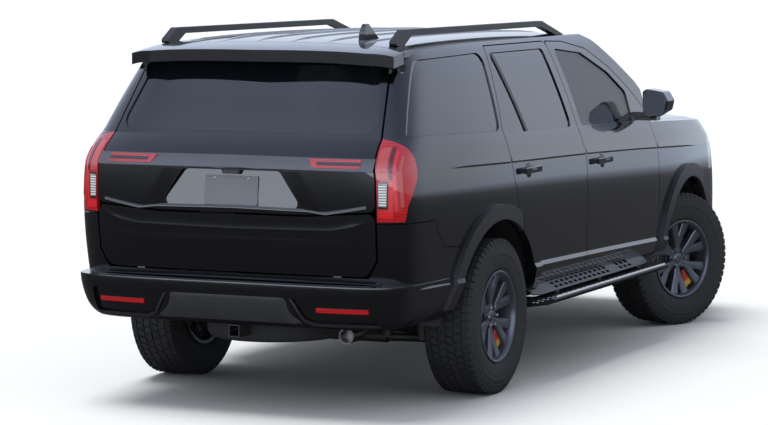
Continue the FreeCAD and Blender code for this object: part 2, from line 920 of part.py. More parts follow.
# Front bumper, grille, headlamps
nose_low = box((half_length / 2, 2 * half_length), (-2 * half_width, 2 * half_width),
               (0, bumper_top_share * body_height))
grille_outline = both_ways([(grille_half_share * half_width, grille_low_share * body_height),
                            (grille_half_share * half_width, grille_top_share * body_height)][::-1])
grille_front = prism_x(grille_outline, half_length / 2, 2 * half_length, grille_border)
intake = prism_x(both_ways([(intake_half_share * half_width, intake_shares[1] * body_height),
                            (intake_half_share * half_width, intake_shares[0] * body_height)]),
                 half_length / 2, 2 * half_length, grille_border)
bumper_strip = nose_strip(0, bumper_wall)
front_bumper = bumper_strip.common(nose_low).cut([
    right_side(fender_shares, 0, seat_gap),
    mirrored(right_side(fender_shares, 0, seat_gap)),
    front_arch,
    mirrored(front_arch),
    prism_x(grown(grille_outline, seat_gap), half_length / 2, 2 * half_length, grille_border),
    intake,
    box((-half_length, front_axle_x), (-2 * half_width, 2 * half_width), (0, body_height)),
])
keep("front_bumper", front_bumper)


def slatted(outline, low, high, half, count):
    body = nose_strip(grille_inset, grille_inset + grille_depth).common(outline)
    step = (high - low - 2 * grille_border + grille_bar) / count
    for i in range(count):
        z = low + grille_border + i * step
        body = body.cut(box((half_length / 2, 2 * half_length), (-half + grille_border, half - grille_border),
                            (z, z + step - grille_bar)))
    return body


grille = slatted(grille_front, grille_low_share * body_height, grille_top_share * body_height,
                 grille_half_share * half_width, grille_bars)
keep("grille", grille)
headlamp = nose_skin.common(box(
    (fender_shares[7][0] * half_length + seat_gap, 2 * half_length),
    (right_far, -lamp_inner_share * half_width),
    (bumper_top_share * body_height + seat_gap, lamp_top_share * body_height)))
hood_room = slab(hood_rows(-overrun), hood_rows(hood_skin + skin_gap), (0, len(rows) - 1))
hood_room = hood_room.common(prism_z(grown(hood_outline, skin_gap), 0, 2 * body_height))
headlamp = headlamp.cut(hood_room)
keep("headlamps", headlamp, mirrored(headlamp))
radiator_x = section(shoulder_row)[4] - front_corner / 2
keep("radiator", box((radiator_x - door_wall, radiator_x), (-frame_outer, frame_outer),
                     (frame_high + seat_gap, grille_top_share * body_height)))

# Cowl under the lower edge of the windshield, behind the hood
cowl_top = windshield_glass_shares[0][1] * body_height - seat_gap
cowl_half = cowl_half_share * half_width
firewall_x = firewall_x_share * half_length
cowl = prism_z([(firewall_x, -cowl_half), (firewall_x, cowl_half), (half_length, cowl_half), (half_length, -cowl_half)],
               cowl_top - cowl_thick, cowl_top)
cowl = cowl.cut(prism_z(grown(hood_outline, gate_gap), 0, 2 * body_height))
keep("cowl", min(cowl.Solids, key=lambda solid: solid.CenterOfMass.x))


# Gates
def gate(points, radius):
    return outer_skin.common(behind(points, 0, radius)), door_core.common(behind(points, -jamb, radius))


lift_skin, lift_core = gate(liftgate_points, door_round)
roof_behind = box((-2 * half_length, roof_rear_share * half_length - skin_gap), (-half_width, half_width),
                  (0, 2 * body_height))
spoiler_plan = [(x * half_length, y * half_width) for x, y in spoiler_shares]
spoiler_plan += [(x, -y) for x, y in reversed(spoiler_plan[:-1])]
spoiler = roof_block(spoiler_depth).common(prism_z(spoiler_plan, 0, 2 * body_height))
glass_hole = both_ways(rear_points(liftgate_glass_shares))
plate_z = plate_z_share * body_height
recess_x = -recess_x_share * half_length
recess = prism_x(both_ways(rear_points(recess_shares)), -half_length - overrun, recess_x, door_round)
plate_holes = [
    rod((recess_x - overrun, y, plate_z), (recess_x + plate_hole_deep, y, plate_z), plate_hole_radius)
    for y in (-plate_spacing / 2, plate_spacing / 2)]
garnish = main_strip(-bar_rise, skin).common(behind(both_ways(rear_points(bar_shares)), 0))
garnish = garnish.common(behind(liftgate_points, 0, door_round))
slot_points = rear_points(slot_lamp_shares)
slot_lamp = main_strip(-bar_rise, glass).common(behind(slot_points, 0))
slot_room = main_strip(-2 * bar_rise, glass + seat_gap).common(behind(slot_points, seat_gap))
keep("gate_lamps", slot_lamp, mirrored(slot_lamp))
liftgate = joined([lift_skin.common(roof_behind), lift_core.common(roof_behind), spoiler, garnish])
liftgate = liftgate.cut([behind(glass_hole, 0, 2 * door_round), recess, slot_room, mirrored(slot_room)] + plate_holes)
rear_pane = pane_strip.common(behind(glass_hole, -seat_gap, 2 * door_round))
keep("liftgate_glass", rear_pane)
tail_skin, tail_core = gate(tailgate_points, 2 * door_round)
tail_skin = tail_skin.cut(behind(liftgate_points, gate_gap))
tailgate = joined([tail_skin, tail_core])

# Rear bumper
step_sections = [
    (z * body_height, 0, w * half_width, -r * half_length, front_axle_x) for z, w, r in bumper_step_shares]


def step_strip(inset):
    return [around_rear(half_loop(s, inset), main_start) for s in step_sections]


bumper_bar = slab(step_strip(0), step_strip(belt_wall), (0, len(step_sections) - 1))
bumper_side = right_side(rear_bumper_side_shares, 0, -bar_rise, right_far, half_width + overrun)
bumper_corner = outer_skin.common(bumper_side)
step_rows = (0, len(step_sections) - 1)
pocket = slab(step_strip(-pocket_depth), step_strip(pocket_depth), step_rows)
pocket = pocket.common(behind(rear_points(pocket_shares), 0, pocket_depth))
reflector_points = rear_points(reflector_shares)
reflector = slab(step_strip(pocket_depth - glass), step_strip(pocket_depth + glass), step_rows)
reflector = reflector.common(behind(reflector_points, 0))
reflector_room = slab(step_strip(0), step_strip(pocket_depth + glass + seat_gap), step_rows)
reflector_room = reflector_room.common(behind(reflector_points, seat_gap))
rear_bumper = joined([bumper_bar.common(bumper_side), bumper_corner]).cut([
    rear_arch, mirrored(rear_arch), behind(both_gates, gate_gap), pocket, mirrored(pocket),
    reflector_room, mirrored(reflector_room)])
keep("rear_bumper", rear_bumper)
keep("reflectors", reflector, mirrored(reflector))
front_moulding = front_moulding.cut(front_bumper)
rear_moulding = rear_moulding.cut(rear_bumper)
keep("arch_mouldings", front_moulding, mirrored(front_moulding), rear_moulding, mirrored(rear_moulding))


# Straps of the lids. Each starts a seat gap off the firewall, the floor or a post of the roof.
def lid_straps(pivot, axis, y, radius, first, last):
    arms = []
    for side in (-1, 1):
        place = V(pivot.x, side * y, pivot.z)
        arms.append(strap(place, axis, V(1, 0, 0), radius, door_strap_thick, door_strap_high, first, last - first))
    return arms


hood_pivot = V(hood_edge_shares[0][0] * half_length, 0, max(p.z for row in rows for p in row) + hood_hinge_rise)
firewall_front = firewall_x + firewall_thick
reach = (hood_pivot.x - firewall_front - seat_gap) / (hood_strap_radius + door_strap_thick / 2)
hood_arms = lid_straps(hood_pivot, V(0, -1, 0), hood_strap_y, hood_strap_radius,
                       degrees(-asin(reach)) - 90, hood_strap_to)
keep("hood", joined([hood] + hood_arms))

gate_pivot = V(roof_rear_x, 0, max(z for x, z in roof_row_shares[5:]) * body_height + hood_hinge_rise)
gate_arms = lid_straps(gate_pivot, V(0, 1, 0), strap_y, gate_strap_radius, gate_strap_from,
                       gate_strap_from + gate_strap_sweep)
keep("liftgate", joined([liftgate] + gate_arms))
post_x = roof_rear_x + (gate_strap_radius + door_strap_thick) * cos(radians(gate_strap_from)) + seat_gap
posts = []
for side in (-1, 1):
    posts.append(box((post_x, post_x + gate_post_length),
                     (side * strap_y - door_strap_high / 2, side * strap_y + door_strap_high / 2),
                     (gate_pivot.z - gate_strap_radius - door_strap_thick / 2, gate_pivot.z - roof_crown)))
keep("roof_panel", joined([roof] + posts))

tail_pivot = V(tail_pivot_share * half_length, 0, tailgate_shares[-1][1] * body_height)
drop = tail_pivot.z - cargo_low - floor_thick - seat_gap
tail_arms = lid_straps(tail_pivot, V(0, -1, 0), strap_y, tail_strap_radius,
                       degrees(-asin(drop / (tail_strap_radius + door_strap_thick / 2))), tail_strap_to)
keep("tailgate", joined([tailgate] + tail_arms))

# Side rails of the roof, and the aerial fin
rail = prism_y(side_points(rail_shares), -rail_y - rail_width / 2, -rail_y + rail_width / 2, rail_width / 3)
rail = rail.cut(roof_block(2 * spoiler_depth))
rail = max(rail.Solids, key=lambda solid: solid.Volume)
keep("roof_rails", rail, mirrored(rail))

fin_x, fin_y = fin_share[0] * half_length, fin_share[1] * half_width
fin_base = roof_row_shares[4][1] * body_height - roof_crown
fin_top = roof_row_shares[4][1] * body_height + fin_height
fin_points = [(fin_x - fin_length / 3, fin_base), (fin_x - fin_length / 3, fin_base + fin_height),
              (fin_x - fin_length / 5, fin_top), (fin_x, fin_top),
              (fin_x + 2 * fin_length / 3, fin_base + fin_height / 3), (fin_x + 2 * fin_length / 3, fin_base)]
fin = prism_y(fin_points, fin_y - fin_width / 2, fin_y + fin_width / 2, fin_width / 2)
fin_side = prism_x([(fin_y - fin_width / 2, fin_base), (fin_y + fin_width / 2, fin_base),
                    (fin_y + fin_width / 8, fin_top + roof_crown), (fin_y - fin_width / 8, fin_top + roof_crown)],
                   fin_x - fin_length, fin_x + fin_length)
fin = fin.common(fin_side).cut(roof)
keep("antenna_fin", max(fin.Solids, key=lambda solid: solid.Volume))


# Mirrors on the front doors
def middle_box(size, middle):
    return Part.makeBox(*size, V(*middle) - V(*size) / 2)


head_points = [(y * mirror_head[1] - mirror_at[1], z * mirror_head[2] + mirror_at[2]) for y, z in mirror_shares]
head = prism_x(head_points, mirror_at[0] - mirror_head[0] / 2, mirror_at[0] + mirror_head[0] / 2, mirror_round / 2)
head = head.makeFillet(mirror_edge, head.Edges)
arm = middle_box(mirror_arm, (mirror_at[0], -mirror_at[1] + mirror_arm[1] / 2, mirror_arm_z))
mirror_shape = joined([head, arm]).cut([front_door, pieces["front_door_glass_right"]])
keep_pair("mirror", max(mirror_shape.Solids, key=lambda solid: solid.Volume))


# Wheels: rim, spokes and hub about the Y axis, outboard towards +Y
def turned(points):
    face = Part.Face(Part.makePolygon([V(0, y, r) for y, r in points + points[:1]]))
    return face.revolve(V(0, 0, 0), V(0, 1, 0), 360)


def faceted(outline):
    turn = 2 * pi / tyre_sides
    rings = []
    for i in range(tyre_sides):
        angle = (i + 0.5) * turn
        rings.append([V(r * sin(angle) / cos(turn / 2), y, r * cos(angle) / cos(turn / 2)) for y, r in outline])
    faces = []
    for near, far in zip(rings, rings[1:] + rings[:1]):
        for j in range(len(outline)):
            faces.append(Part.Face(Part.makePolygon([near[j - 1], near[j], far[j], far[j - 1], near[j - 1]])))
    shell = Part.makeShell(faces)
    shell.sewShape()
    solid = Part.Solid(shell)
    if solid.Volume < 0:
        solid.reverse()
    return solid


def tyre_shape():
    bead, side = rim_width / 2 - seat_gap, tyre_width / 2
    seat, foot = rim_radius + seat_gap, rim_radius + rim_flange + seat_gap
    widest = (foot + tyre_radius) / 2
    shoulder = tyre_radius - tread_crown - sidewall_bulge
    half = [
        (bead, seat), (bead, foot), (side - sidewall_bulge / 2, (foot + widest) / 2), (side, widest),
        (side - sidewall_bulge / 3, (widest + shoulder) / 2), (tread_half + sidewall_bulge, shoulder),
        (tread_half, tyre_radius - tread_crown / 2), (tread_half - 2 * sidewall_bulge, tyre_radius)]
    return faceted(half + [(-y, r) for y, r in reversed(half)])


def spoke(angle):
    bars = []
    for side in (-1, 1):
        lean = radians(angle)
        spread = radians(angle + side * spoke_spread)
        root = (hub_radius * sin(lean), hub_radius * cos(lean))
        tip = ((rim_radius - rim_wall / 2) * sin(spread), (rim_radius - rim_wall / 2) * cos(spread))
        size = hypot(tip[0] - root[0], tip[1] - root[1])
        across = ((tip[1] - root[1]) / size, (root[0] - tip[0]) / size)
        points = []
        for end, half in ((root, spoke_root), (tip, spoke_tip)):
            for way in (-1, 1) if end is root else (1, -1):
                points.append((end[0] + way * half * across[0], end[1] + way * half * across[1]))
        bars.append(prism_y(points, 0, rim_width))
    return bars


def rim_shape():
    half = rim_width / 2
    barrel = turned([
        (-half - rim_lip, rim_radius), (-half - rim_lip, rim_radius + rim_flange),
        (-half, rim_radius + rim_flange), (-half, rim_radius), (half, rim_radius),
        (half, rim_radius + rim_flange), (half + rim_lip, rim_radius + rim_flange),
        (half + rim_lip, rim_radius - rim_wall / 2), (half, rim_radius - rim_wall), (-half, rim_radius - rim_wall)])
    face = half - face_recess / 3
    bowl = half - face_recess
    dish = turned([
        (bowl - dish_depth / 2, 0), (bowl, 0), (bowl, hub_radius), (face, rim_radius - rim_wall / 2),
        (face - spoke_thick, rim_radius - rim_wall / 2), (bowl - dish_depth / 2, hub_radius)])
    spokes = []
    for i in range(spoke_count):
        spokes += spoke(i * 360 / spoke_count)
    hub_disc = Part.makeCylinder(hub_radius, rim_width, V(0, 0, 0), V(0, 1, 0))
    wheel = joined(spokes + [hub_disc]).common(dish)
    inner = bowl - dish_depth / 2 - disc_offset
    carrier = Part.makeCylinder(hub_radius - rim_lip, bowl - inner - rim_wall, V(0, inner, 0), V(0, 1, 0))
    disc = Part.makeCylinder(disc_radius, disc_thick, V(0, inner, 0), V(0, 1, 0))
    bore = Part.makeCylinder(hub_bore + seat_gap, spindle_reach + rim_wall, V(0, inner - rim_wall, 0), V(0, 1, 0))
    nuts = []
    for i in range(spoke_count):
        turn = radians((i + 0.5) * 360 / spoke_count)
        place = V(lug_circle * sin(turn) * 0.8, bowl - rim_wall, lug_circle * cos(turn) * 0.8)
        nuts.append(Part.makeCylinder(lug_radius, lug_rise + rim_wall, place, V(0, 1, 0)))
    return joined([barrel, wheel, carrier, disc] + nuts).cut(bore)


def knuckle_shape():
    inner = rim_width / 2 - face_recess - dish_depth / 2 - disc_offset
    depth = wheel_y - kingpin_y
    spindle = Part.makeCylinder(hub_bore, depth + inner + spindle_reach - rim_wall, V(0, -depth, 0), V(0, 1, 0))
    upright = Part.makeCylinder(upright_radius, 2 * (arm_low - eye_half - seat_gap), V(0, -depth, seat_gap + eye_half - arm_low))
    pin = Part.makeCylinder(kingpin_radius, 2 * kingpin_half, V(0, -depth, -kingpin_half))
    low, high = inner - caliper_gap - caliper_side, inner + disc_thick + caliper_gap + caliper_side
    caliper = box((-caliper_out, -caliper_in), (low, high), (-caliper_half, caliper_half))
    outside = Part.makeCylinder(caliper_out, rim_width, V(0, low, 0), V(0, 1, 0))
    slot = Part.makeCylinder(disc_radius + caliper_gap, disc_thick + 2 * caliper_gap, V(0, inner - caliper_gap, 0), V(0, 1, 0))
    caliper = caliper.common(outside).cut(slot)
    bracket = box((-caliper_in - caliper_side, 0), (-depth, -depth + caliper_side), (-caliper_half / 2, caliper_half / 2))
    neck = box((-caliper_in - 2 * caliper_side, -caliper_in + caliper_side), (-depth, low + caliper_side / 2),
               (-caliper_half / 2, caliper_half / 2))
    return joined([spindle, upright, pin, caliper, bracket, neck])


def placed(shape, x, side, steer):
    shape = shape.copy()
    if side < 0:
        shape = shape.mirror(V(0, 0, 0), V(0, 1, 0))
    shape.translate(V(x, side * wheel_y, tyre_radius))
    if steer:
        shape.rotate(V(x, side * kingpin_y, 0), V(0, 0, 1), steer)
    return shape


rim, tyre, knuckle = rim_shape(), tyre_shape(), knuckle_shape()
for end, x, steer in (("front", front_axle_x, steer_rest), ("rear", rear_axle_x, 0)):
    for name, side in (("right", -1), ("left", 1)):
        keep("rim_" + end + "_" + name, placed(rim, x, side, steer))
        keep("tyre_" + end + "_" + name, placed(tyre, x, side, steer))
        if steer:
            keep("knuckle_" + end + "_" + name, placed(knuckle, x, side, steer))
rear_knuckles = [placed(knuckle, rear_axle_x, side, 0) for side in (-1, 1)]

# Frame: two rails that kick up over the rear axle, cross members, towers and body mounts
kick_front, kick_rear = [s * half_length for s in kick_shares]
rail_rear = step_sections[-1][3]
rail_front = section(2)[4]
lift = frame_kick_rise
rail_points = [
    (rail_front, frame_low), (kick_front, frame_low), (kick_rear, frame_low + lift), (rail_rear, frame_low + lift),
    (rail_rear, frame_high + lift), (kick_rear, frame_high + lift), (kick_front, frame_high), (rail_front, frame_high)]
engine_x = [s * half_length for s in engine_shares]
engine_middle = (engine_x[0] + engine_x[1]) / 2
inner_half = frame_outer - frame_wide / 2
rear_cross_x = rear_cross_share * half_length
rear_mount_top = cargo_low - seat_gap - frame_high - lift
damper_x = rear_axle_x - rear_damper_back
rails = []
for side in (-1, 1):
    near, far = side * (frame_outer - frame_wide), side * frame_outer
    across = (min(near, far), max(near, far))
    parts = [prism_y(rail_points, *across, cross_deep)]
    for share in puck_shares:
        parts.append(Part.makeCylinder(puck_radius, floor_low - seat_gap - frame_low,
                                       V(share * half_length, side * inner_half, frame_low)))
    parts.append(Part.makeCylinder(puck_radius, rear_mount_top, V(rear_cross_x, side * inner_half, frame_high + lift)))
    parts.append(box((front_axle_x - tower_wide, front_axle_x + tower_wide), across,
                     (frame_low, frame_high + tower_high)))
    mount = side * (engine_half + seat_gap)
    parts.append(box((engine_middle - engine_mount, engine_middle + engine_mount), (min(mount, far), max(mount, far)),
                     (frame_low + arm_radius, frame_high)))
    plate = (min(near, side * tower_reach), max(near, side * tower_reach))
    parts.append(box((front_axle_x - tower_half, front_axle_x + tower_half), across, (frame_low, tower_top)))
    parts.append(box((front_axle_x - tower_half, front_axle_x + tower_half), plate,
                     (tower_top - tower_plate, tower_top)))
    parts.append(box((damper_x - tower_half, damper_x + tower_half), plate,
                     (frame_high + lift - tower_plate, frame_high + lift)))
    whole = joined(parts).cut([rear_bumper, front_bumper])
    rails.append(max(whole.Solids, key=lambda solid: solid.Volume))
keep("frame", *rails)

cross_half = frame_outer - frame_wide - seat_gap
members = []
for x, rise in [(share * half_length, 0) for share in cross_shares] + [(rear_cross_x, lift)]:
    members.append(box((x - cross_wide / 2, x + cross_wide / 2), (-cross_half, cross_half),
                       (frame_high + rise - cross_deep, frame_high + rise)))
receiver = box((-hitch_rear, -hitch_rear + hitch_length), (-hitch_half, hitch_half),
               (hitch_z - hitch_half, hitch_z + hitch_half))
receiver_bore = box((-hitch_rear - overrun, -hitch_rear + hitch_length - rim_wall), (-hitch_bore, hitch_bore),
                    (hitch_z - hitch_bore, hitch_z + hitch_bore))
pin_hole = rod((-hitch_rear + hitch_pin_in, -half_width, hitch_z), (-hitch_rear + hitch_pin_in, half_width, hitch_z),
               hitch_pin_radius)
bracket = box((-hitch_rear + hitch_length - hitch_half, -hitch_rear + hitch_length), (-hitch_half, hitch_half),
              (hitch_z + hitch_bore, frame_high + lift))
members[-1] = joined([members[-1], receiver, bracket]).cut([receiver_bore, pin_hole, rear_bumper])
members[-1] = max(members[-1].Solids, key=lambda solid: solid.Volume)
keep("cross_members", *members)


# Suspension arms, with an eye round each end of the kingpin
def arms(x, side, roots, spread):
    parts = []
    holes = []
    for drop, (root_y, root_z) in ((-arm_low, roots[0]), (arm_low, roots[1])):
        z = tyre_radius + drop
        eye = (x, side * kingpin_y, z)
        parts.append(Part.makeCylinder(eye_radius, 2 * eye_half, V(x, side * kingpin_y, z - eye_half)))
        holes.append(Part.makeCylinder(kingpin_radius + seat_gap, 2 * kingpin_half, V(x, side * kingpin_y, z - kingpin_half)))
        for way in (-1, 1):
            parts.append(rod(eye, (x + way * spread, side * root_y, root_z), arm_radius))
    return parts, holes


front_arm_parts = []
frame_middle = (frame_low + frame_high) / 2
low_z = tyre_radius - arm_low
share = (kingpin_y - damper_y) / (kingpin_y - inner_half)
link_x, link_z = arm_root_spread * share, low_z + (frame_middle - low_z) * share
for side in (-1, 1):
    parts, holes = arms(front_axle_x, side, ((inner_half, frame_middle), (inner_half, tyre_radius + arm_high)), arm_root_spread)
    parts.append(rod((front_axle_x, side * damper_y, link_z), (front_axle_x, side * damper_y, tower_top - tower_plate),
                     damper_radius))
    parts.append(rod((front_axle_x - link_x, side * damper_y, link_z), (front_axle_x + link_x, side * damper_y, link_z),
                     arm_radius))
    upright_room = Part.makeCylinder(upright_radius + skin_gap, 2 * (arm_low - eye_half), V(
        front_axle_x, side * kingpin_y, low_z + eye_half))
    arm_side = parts[0].fuse(parts[1:]).cut(holes + [upright_room] + rails)
    front_arm_parts += [solid for solid in arm_side.Solids if solid.Volume > arm_radius ** 3]
keep("front_arms", *front_arm_parts)

rear_parts = list(rear_knuckles)
centre = V(rear_axle_x, 0, tyre_radius)
rear_parts.append(Part.makeCylinder(diff_radius, diff_length, centre - V(0, diff_length / 2, 0), V(0, 1, 0)))
rear_parts.append(Part.makeCylinder(diff_nose, diff_nose_length, centre, V(1, 0, 0)))
rear_parts.append(rod((rear_axle_x, -kingpin_y, tyre_radius), (rear_axle_x, kingpin_y, tyre_radius), shaft_radius))
for way in (-1, 1):
    tube_x = rear_axle_x + way * tube_spread
    rear_parts.append(rod((tube_x, -inner_half, tube_z), (tube_x, inner_half, tube_z), tube_radius))
    for side in (-1, 1):
        rear_parts.append(rod((tube_x, side * inner_half, tube_z), (tube_x, side * inner_half, frame_low + lift), post_radius))
for side in (-1, 1):
    rear_parts.append(rod((rear_axle_x - tube_spread, side * diff_radius, tube_z),
                          (rear_axle_x + tube_spread, side * diff_radius, tube_z), arm_radius))
    parts, holes = arms(rear_axle_x, side, ((inner_half, tube_z), (inner_half, tyre_radius + arm_high)), tube_spread)
    rear_parts += parts
    rear_parts.append(rod((damper_x, side * damper_y, tyre_radius - arm_low),
                          (damper_x, side * damper_y, frame_high + lift - tower_plate), damper_radius))
rear_axle = joined(rear_parts).cut(rails)
keep("rear_axle", max(rear_axle.Solids, key=lambda solid: solid.Volume))

# Engine, gearbox and propeller shaft
keep("engine_block", box(engine_x, (-engine_half, engine_half), (engine_low, engine_high)))
gearbox_rear = engine_x[0] - gearbox_length
driveline = joined([
    rod((engine_x[0], 0, gearbox_z), (gearbox_rear, 0, gearbox_z), gearbox_radius),
    rod((gearbox_rear + prop_radius, 0, gearbox_z),
        (rear_axle_x + diff_nose_length - prop_radius, 0, tyre_radius), prop_radius)])
keep("driveline", driveline.cut(rear_axle))


# Exhaust: straight runs with tangent bends
def pipe(points, radius):
    spans = []
    start = V(*points[0])
    for before, point, after in zip(points, points[1:], points[2:]):
        before, point, after = V(*before), V(*point), V(*after)
        into, out = (before - point), (after - point)
        room = 0.45 * min(into.Length, out.Length)
        into, out = into.normalize(), out.normalize()
        angle = into.getAngle(out)
        reach = min(pipe_bend / tan(angle / 2), room)
        bend = reach * tan(angle / 2)
        half = (into + out).normalize()
        middle = point + half * (bend / sin(angle / 2) - bend)
        first, last = point + into * reach, point + out * reach
        spans += [Part.LineSegment(start, first).toShape(), Part.Arc(first, middle, last).toShape()]
        start = last
    spans.append(Part.LineSegment(start, V(*points[-1])).toShape())
    path = Part.Wire(spans)
    ring = Part.Wire(Part.makeCircle(radius, V(*points[0]), V(*points[1]) - V(*points[0])))
    return path.makePipeShell([ring], True, False)


muffler_x = muffler_rear_share * half_length
over_front, over_rear = rear_axle_x + tube_spread / 2, rear_axle_x - tube_spread
route = [
    (engine_x[0], pipe_y, pipe_z), (muffler_x, pipe_y, pipe_z), (kick_rear, pipe_y, pipe_z),
    (over_front, pipe_over_y, pipe_over_z), (over_rear, pipe_over_y, pipe_over_z),
    (over_rear - tube_spread, tip_y, (pipe_over_z + tip_z) / 2), (-tip_rear + tip_length / 2, tip_y, tip_z)]
muffler = rod((muffler_x, pipe_y, pipe_z), (muffler_x + muffler_length, pipe_y, pipe_z), muffler_radius)
tip = rod((-tip_rear, tip_y, tip_z), (-tip_rear + tip_length, tip_y, tip_z), tip_radius)
tip_bore = rod((-tip_rear - overrun, tip_y, tip_z), (-tip_rear + tip_length / 3, tip_y, tip_z), tip_radius - rim_wall / 2)
exhaust = joined([pipe(route[1:], pipe_radius), rod(route[0], route[1], pipe_radius), muffler, tip]).cut(tip_bore)
keep("exhaust", exhaust)

# Spare wheel under the cargo floor, fuel tank between the rails
spare_x = spare_share * half_length
spare = Part.makeCylinder(spare_radius, spare_width, V(spare_x, 0, spare_low))
spare = spare.makeFillet(sidewall_bulge * 3, spare.Edges)
dish = Part.makeCylinder(rim_radius - rim_wall, spare_width / 2, V(spare_x, 0, spare_low - overrun / 4))
hanger = Part.makeCylinder(spare_hanger, cargo_low - seat_gap - spare_low - spare_width / 2, V(spare_x, 0, spare_low + spare_width / 2))
keep("spare_wheel", joined([spare.cut(dish), hanger]))
tank = box([s * half_length for s in tank_shares],
           (frame_outer - frame_wide - seat_gap - tank_wide, frame_outer - frame_wide - seat_gap), (tank_low, tank_high))
keep("fuel_tank", tank.makeFillet(sidewall_bulge, tank.Edges))

# Running boards on brackets below the sills
board_x = [s * half_length for s in board_shares]
board_points = [
    (-board_inner, board_top), (-board_inner, board_top - board_thick), (-board_outer, board_top - board_thick / 2),
    (-board_outer - board_lip, board_top), (-board_outer - board_lip, board_top + board_thick / 3),
    (-board_outer, board_top + board_thick / 3), (-board_outer + board_rise, board_top + board_thick / 3)]
board = prism_x(board_points, *board_x, board_thick / 5)
brackets = []
for share in (0.15, 0.5, 0.85):
    x = board_x[0] + (board_x[1] - board_x[0]) * share
    brackets.append(box((x - board_bracket / 2, x + board_bracket / 2), (-board_inner - 2 * board_thick, -board_inner - board_thick / 2),
                        (board_top - board_thick / 2, section(0)[0] + skin)))
    brackets.append(box((x - board_bracket / 2, x + board_bracket / 2), (-board_inner - board_thick / 2, -frame_outer - seat_gap),
                        (board_top - board_thick, board_top - board_thick / 2)))
boards = joined([board] + brackets).cut([body_side, front_door, rear_door])
boards = max(boards.Solids, key=lambda solid: solid.Volume)
keep("running_boards", boards, mirrored(boards))

# Floor: one folded sheet from the firewall to the load floor
floor_rear = step_sections[-1][3] + belt_wall + seat_gap
floor_points = [
    (firewall_x + firewall_thick, cowl_top - cowl_thick - seat_gap), (firewall_x + firewall_thick, floor_low),
    (kick_front, floor_low), (kick_rear, cargo_low), (floor_rear, cargo_low),
    (floor_rear, cargo_low + floor_thick), (kick_rear - floor_thick / 2, cargo_low + floor_thick),
    (kick_front - floor_thick / 2, floor_low + floor_thick), (firewall_x, floor_low + floor_thick),
    (firewall_x, cowl_top - cowl_thick - seat_gap)]
floor_far = section(5)[2] - door_wall / 2
rear_house = arch_cut(rear_axle_x, liner_radius + liner_wall + seat_gap, -half_width, -wheel_house_inner)
front_house = arch_cut(front_axle_x, liner_radius + liner_wall + seat_gap, -half_width, -frame_outer)
floor = prism_y(floor_points, -floor_far, floor_far).cut([
    main_strip(-2 * overrun, None, seat_gap), rear_house, mirrored(rear_house), front_house, mirrored(front_house)])
door_side = -(section(5)[2] - door_wall - skin_gap)
for shares in (front_door_shares, rear_door_shares):
    edge = right_side(shares, 0, skin_gap, right_far, door_side)
    floor = floor.cut([edge, mirrored(edge)])
tongue = box((floor_rear, floor_rear + door_wall + belt_wall), (-floor_tongue_half, floor_tongue_half),
             (cargo_low, cargo_low + floor_thick))
floor = joined([floor, tongue]).cut(rear_bumper)
floor = max(floor.Solids, key=lambda solid: solid.Volume)


# Liners over the wheels
def liner(x, strip, inner):
    tube = arch_cut(x, liner_radius + liner_wall, right_far, -inner).cut(arch_cut(x, liner_radius, right_far, -inner))
    top = box((x - half_length, x + half_length), (right_far, 0), (arch_z, body_height))
    below = box((x - half_length, x + half_length), (right_far, nose_wall + seat_gap - section(0)[2]),
                (0, section(0)[0] + skin))
    tube = tube.common(top).cut([strip, below])
    return min(tube.Solids, key=lambda solid: abs(solid.CenterOfMass.y + inner))


front_liner = liner(front_axle_x, nose_strip(-2 * overrun, nose_wall + seat_gap), frame_outer)
front_liner = max(front_liner.cut(front_bumper).Solids, key=lambda solid: solid.Volume)
rear_liner = liner(rear_axle_x, main_strip(-2 * overrun, jamb), wheel_house_inner)
rear_liner = max(rear_liner.cut(rear_bumper).Solids, key=lambda solid: solid.Volume)
keep("arch_liners", front_liner, mirrored(front_liner), rear_liner, mirrored(rear_liner))

keep("floor_pan", floor)


# Seats
def seat(x, y, wide, foot):
    ground = cargo_low + floor_thick if x < kick_rear else floor_low + floor_thick
    base = box((x + seat_back, x + seat_length - seat_back), (y - wide / 3, y + wide / 3),
               (ground + seat_gap, ground + foot + seat_cushion / 2))
    cushion = box((x, x + seat_length), (y - wide / 2, y + wide / 2), (ground + foot, ground + foot + seat_cushion))
    cushion = cushion.makeFillet(seat_cushion / 3, cushion.Edges)
    low = ground + foot + seat_cushion / 2
    back = box((x - seat_back / 2, x + seat_back / 2), (y - wide / 2, y + wide / 2), (low, low + seat_back_height))
    back = back.makeFillet(seat_back / 3, back.Edges)
    parts = [base, cushion]
    tops = [back]
    count = round(wide / seat_width)
    for i in range(count):
        middle = y + ((i + 0.5) / count - 0.5) * wide
        top = low + seat_back_height - seat_back / 3
        head = box((x - seat_head_thick / 2, x + seat_head_thick / 2), (middle - seat_head / 2, middle + seat_head / 2),
                   (top, top + seat_head_high))
        tops.append(head.makeFillet(seat_head_thick / 3, head.Edges))
    leaning = joined(tops)
    leaning.rotate(V(x, y, low), V(0, 1, 0), -seat_lean)
    whole = joined(parts + [leaning]).cut(floor)
    return max(whole.Solids, key=lambda solid: solid.Volume)


seats = [seat(front_seat_share * half_length, side * seat_y, seat_width, seat_foot) for side in (-1, 1)]
seats.append(seat(second_seat_share * half_length, 0, 3 * seat_width - seat_cushion, seat_foot))
seats.append(seat(third_seat_share * half_length, 0, 2 * seat_width + seat_cushion, third_foot))
keep("seats", *seats)

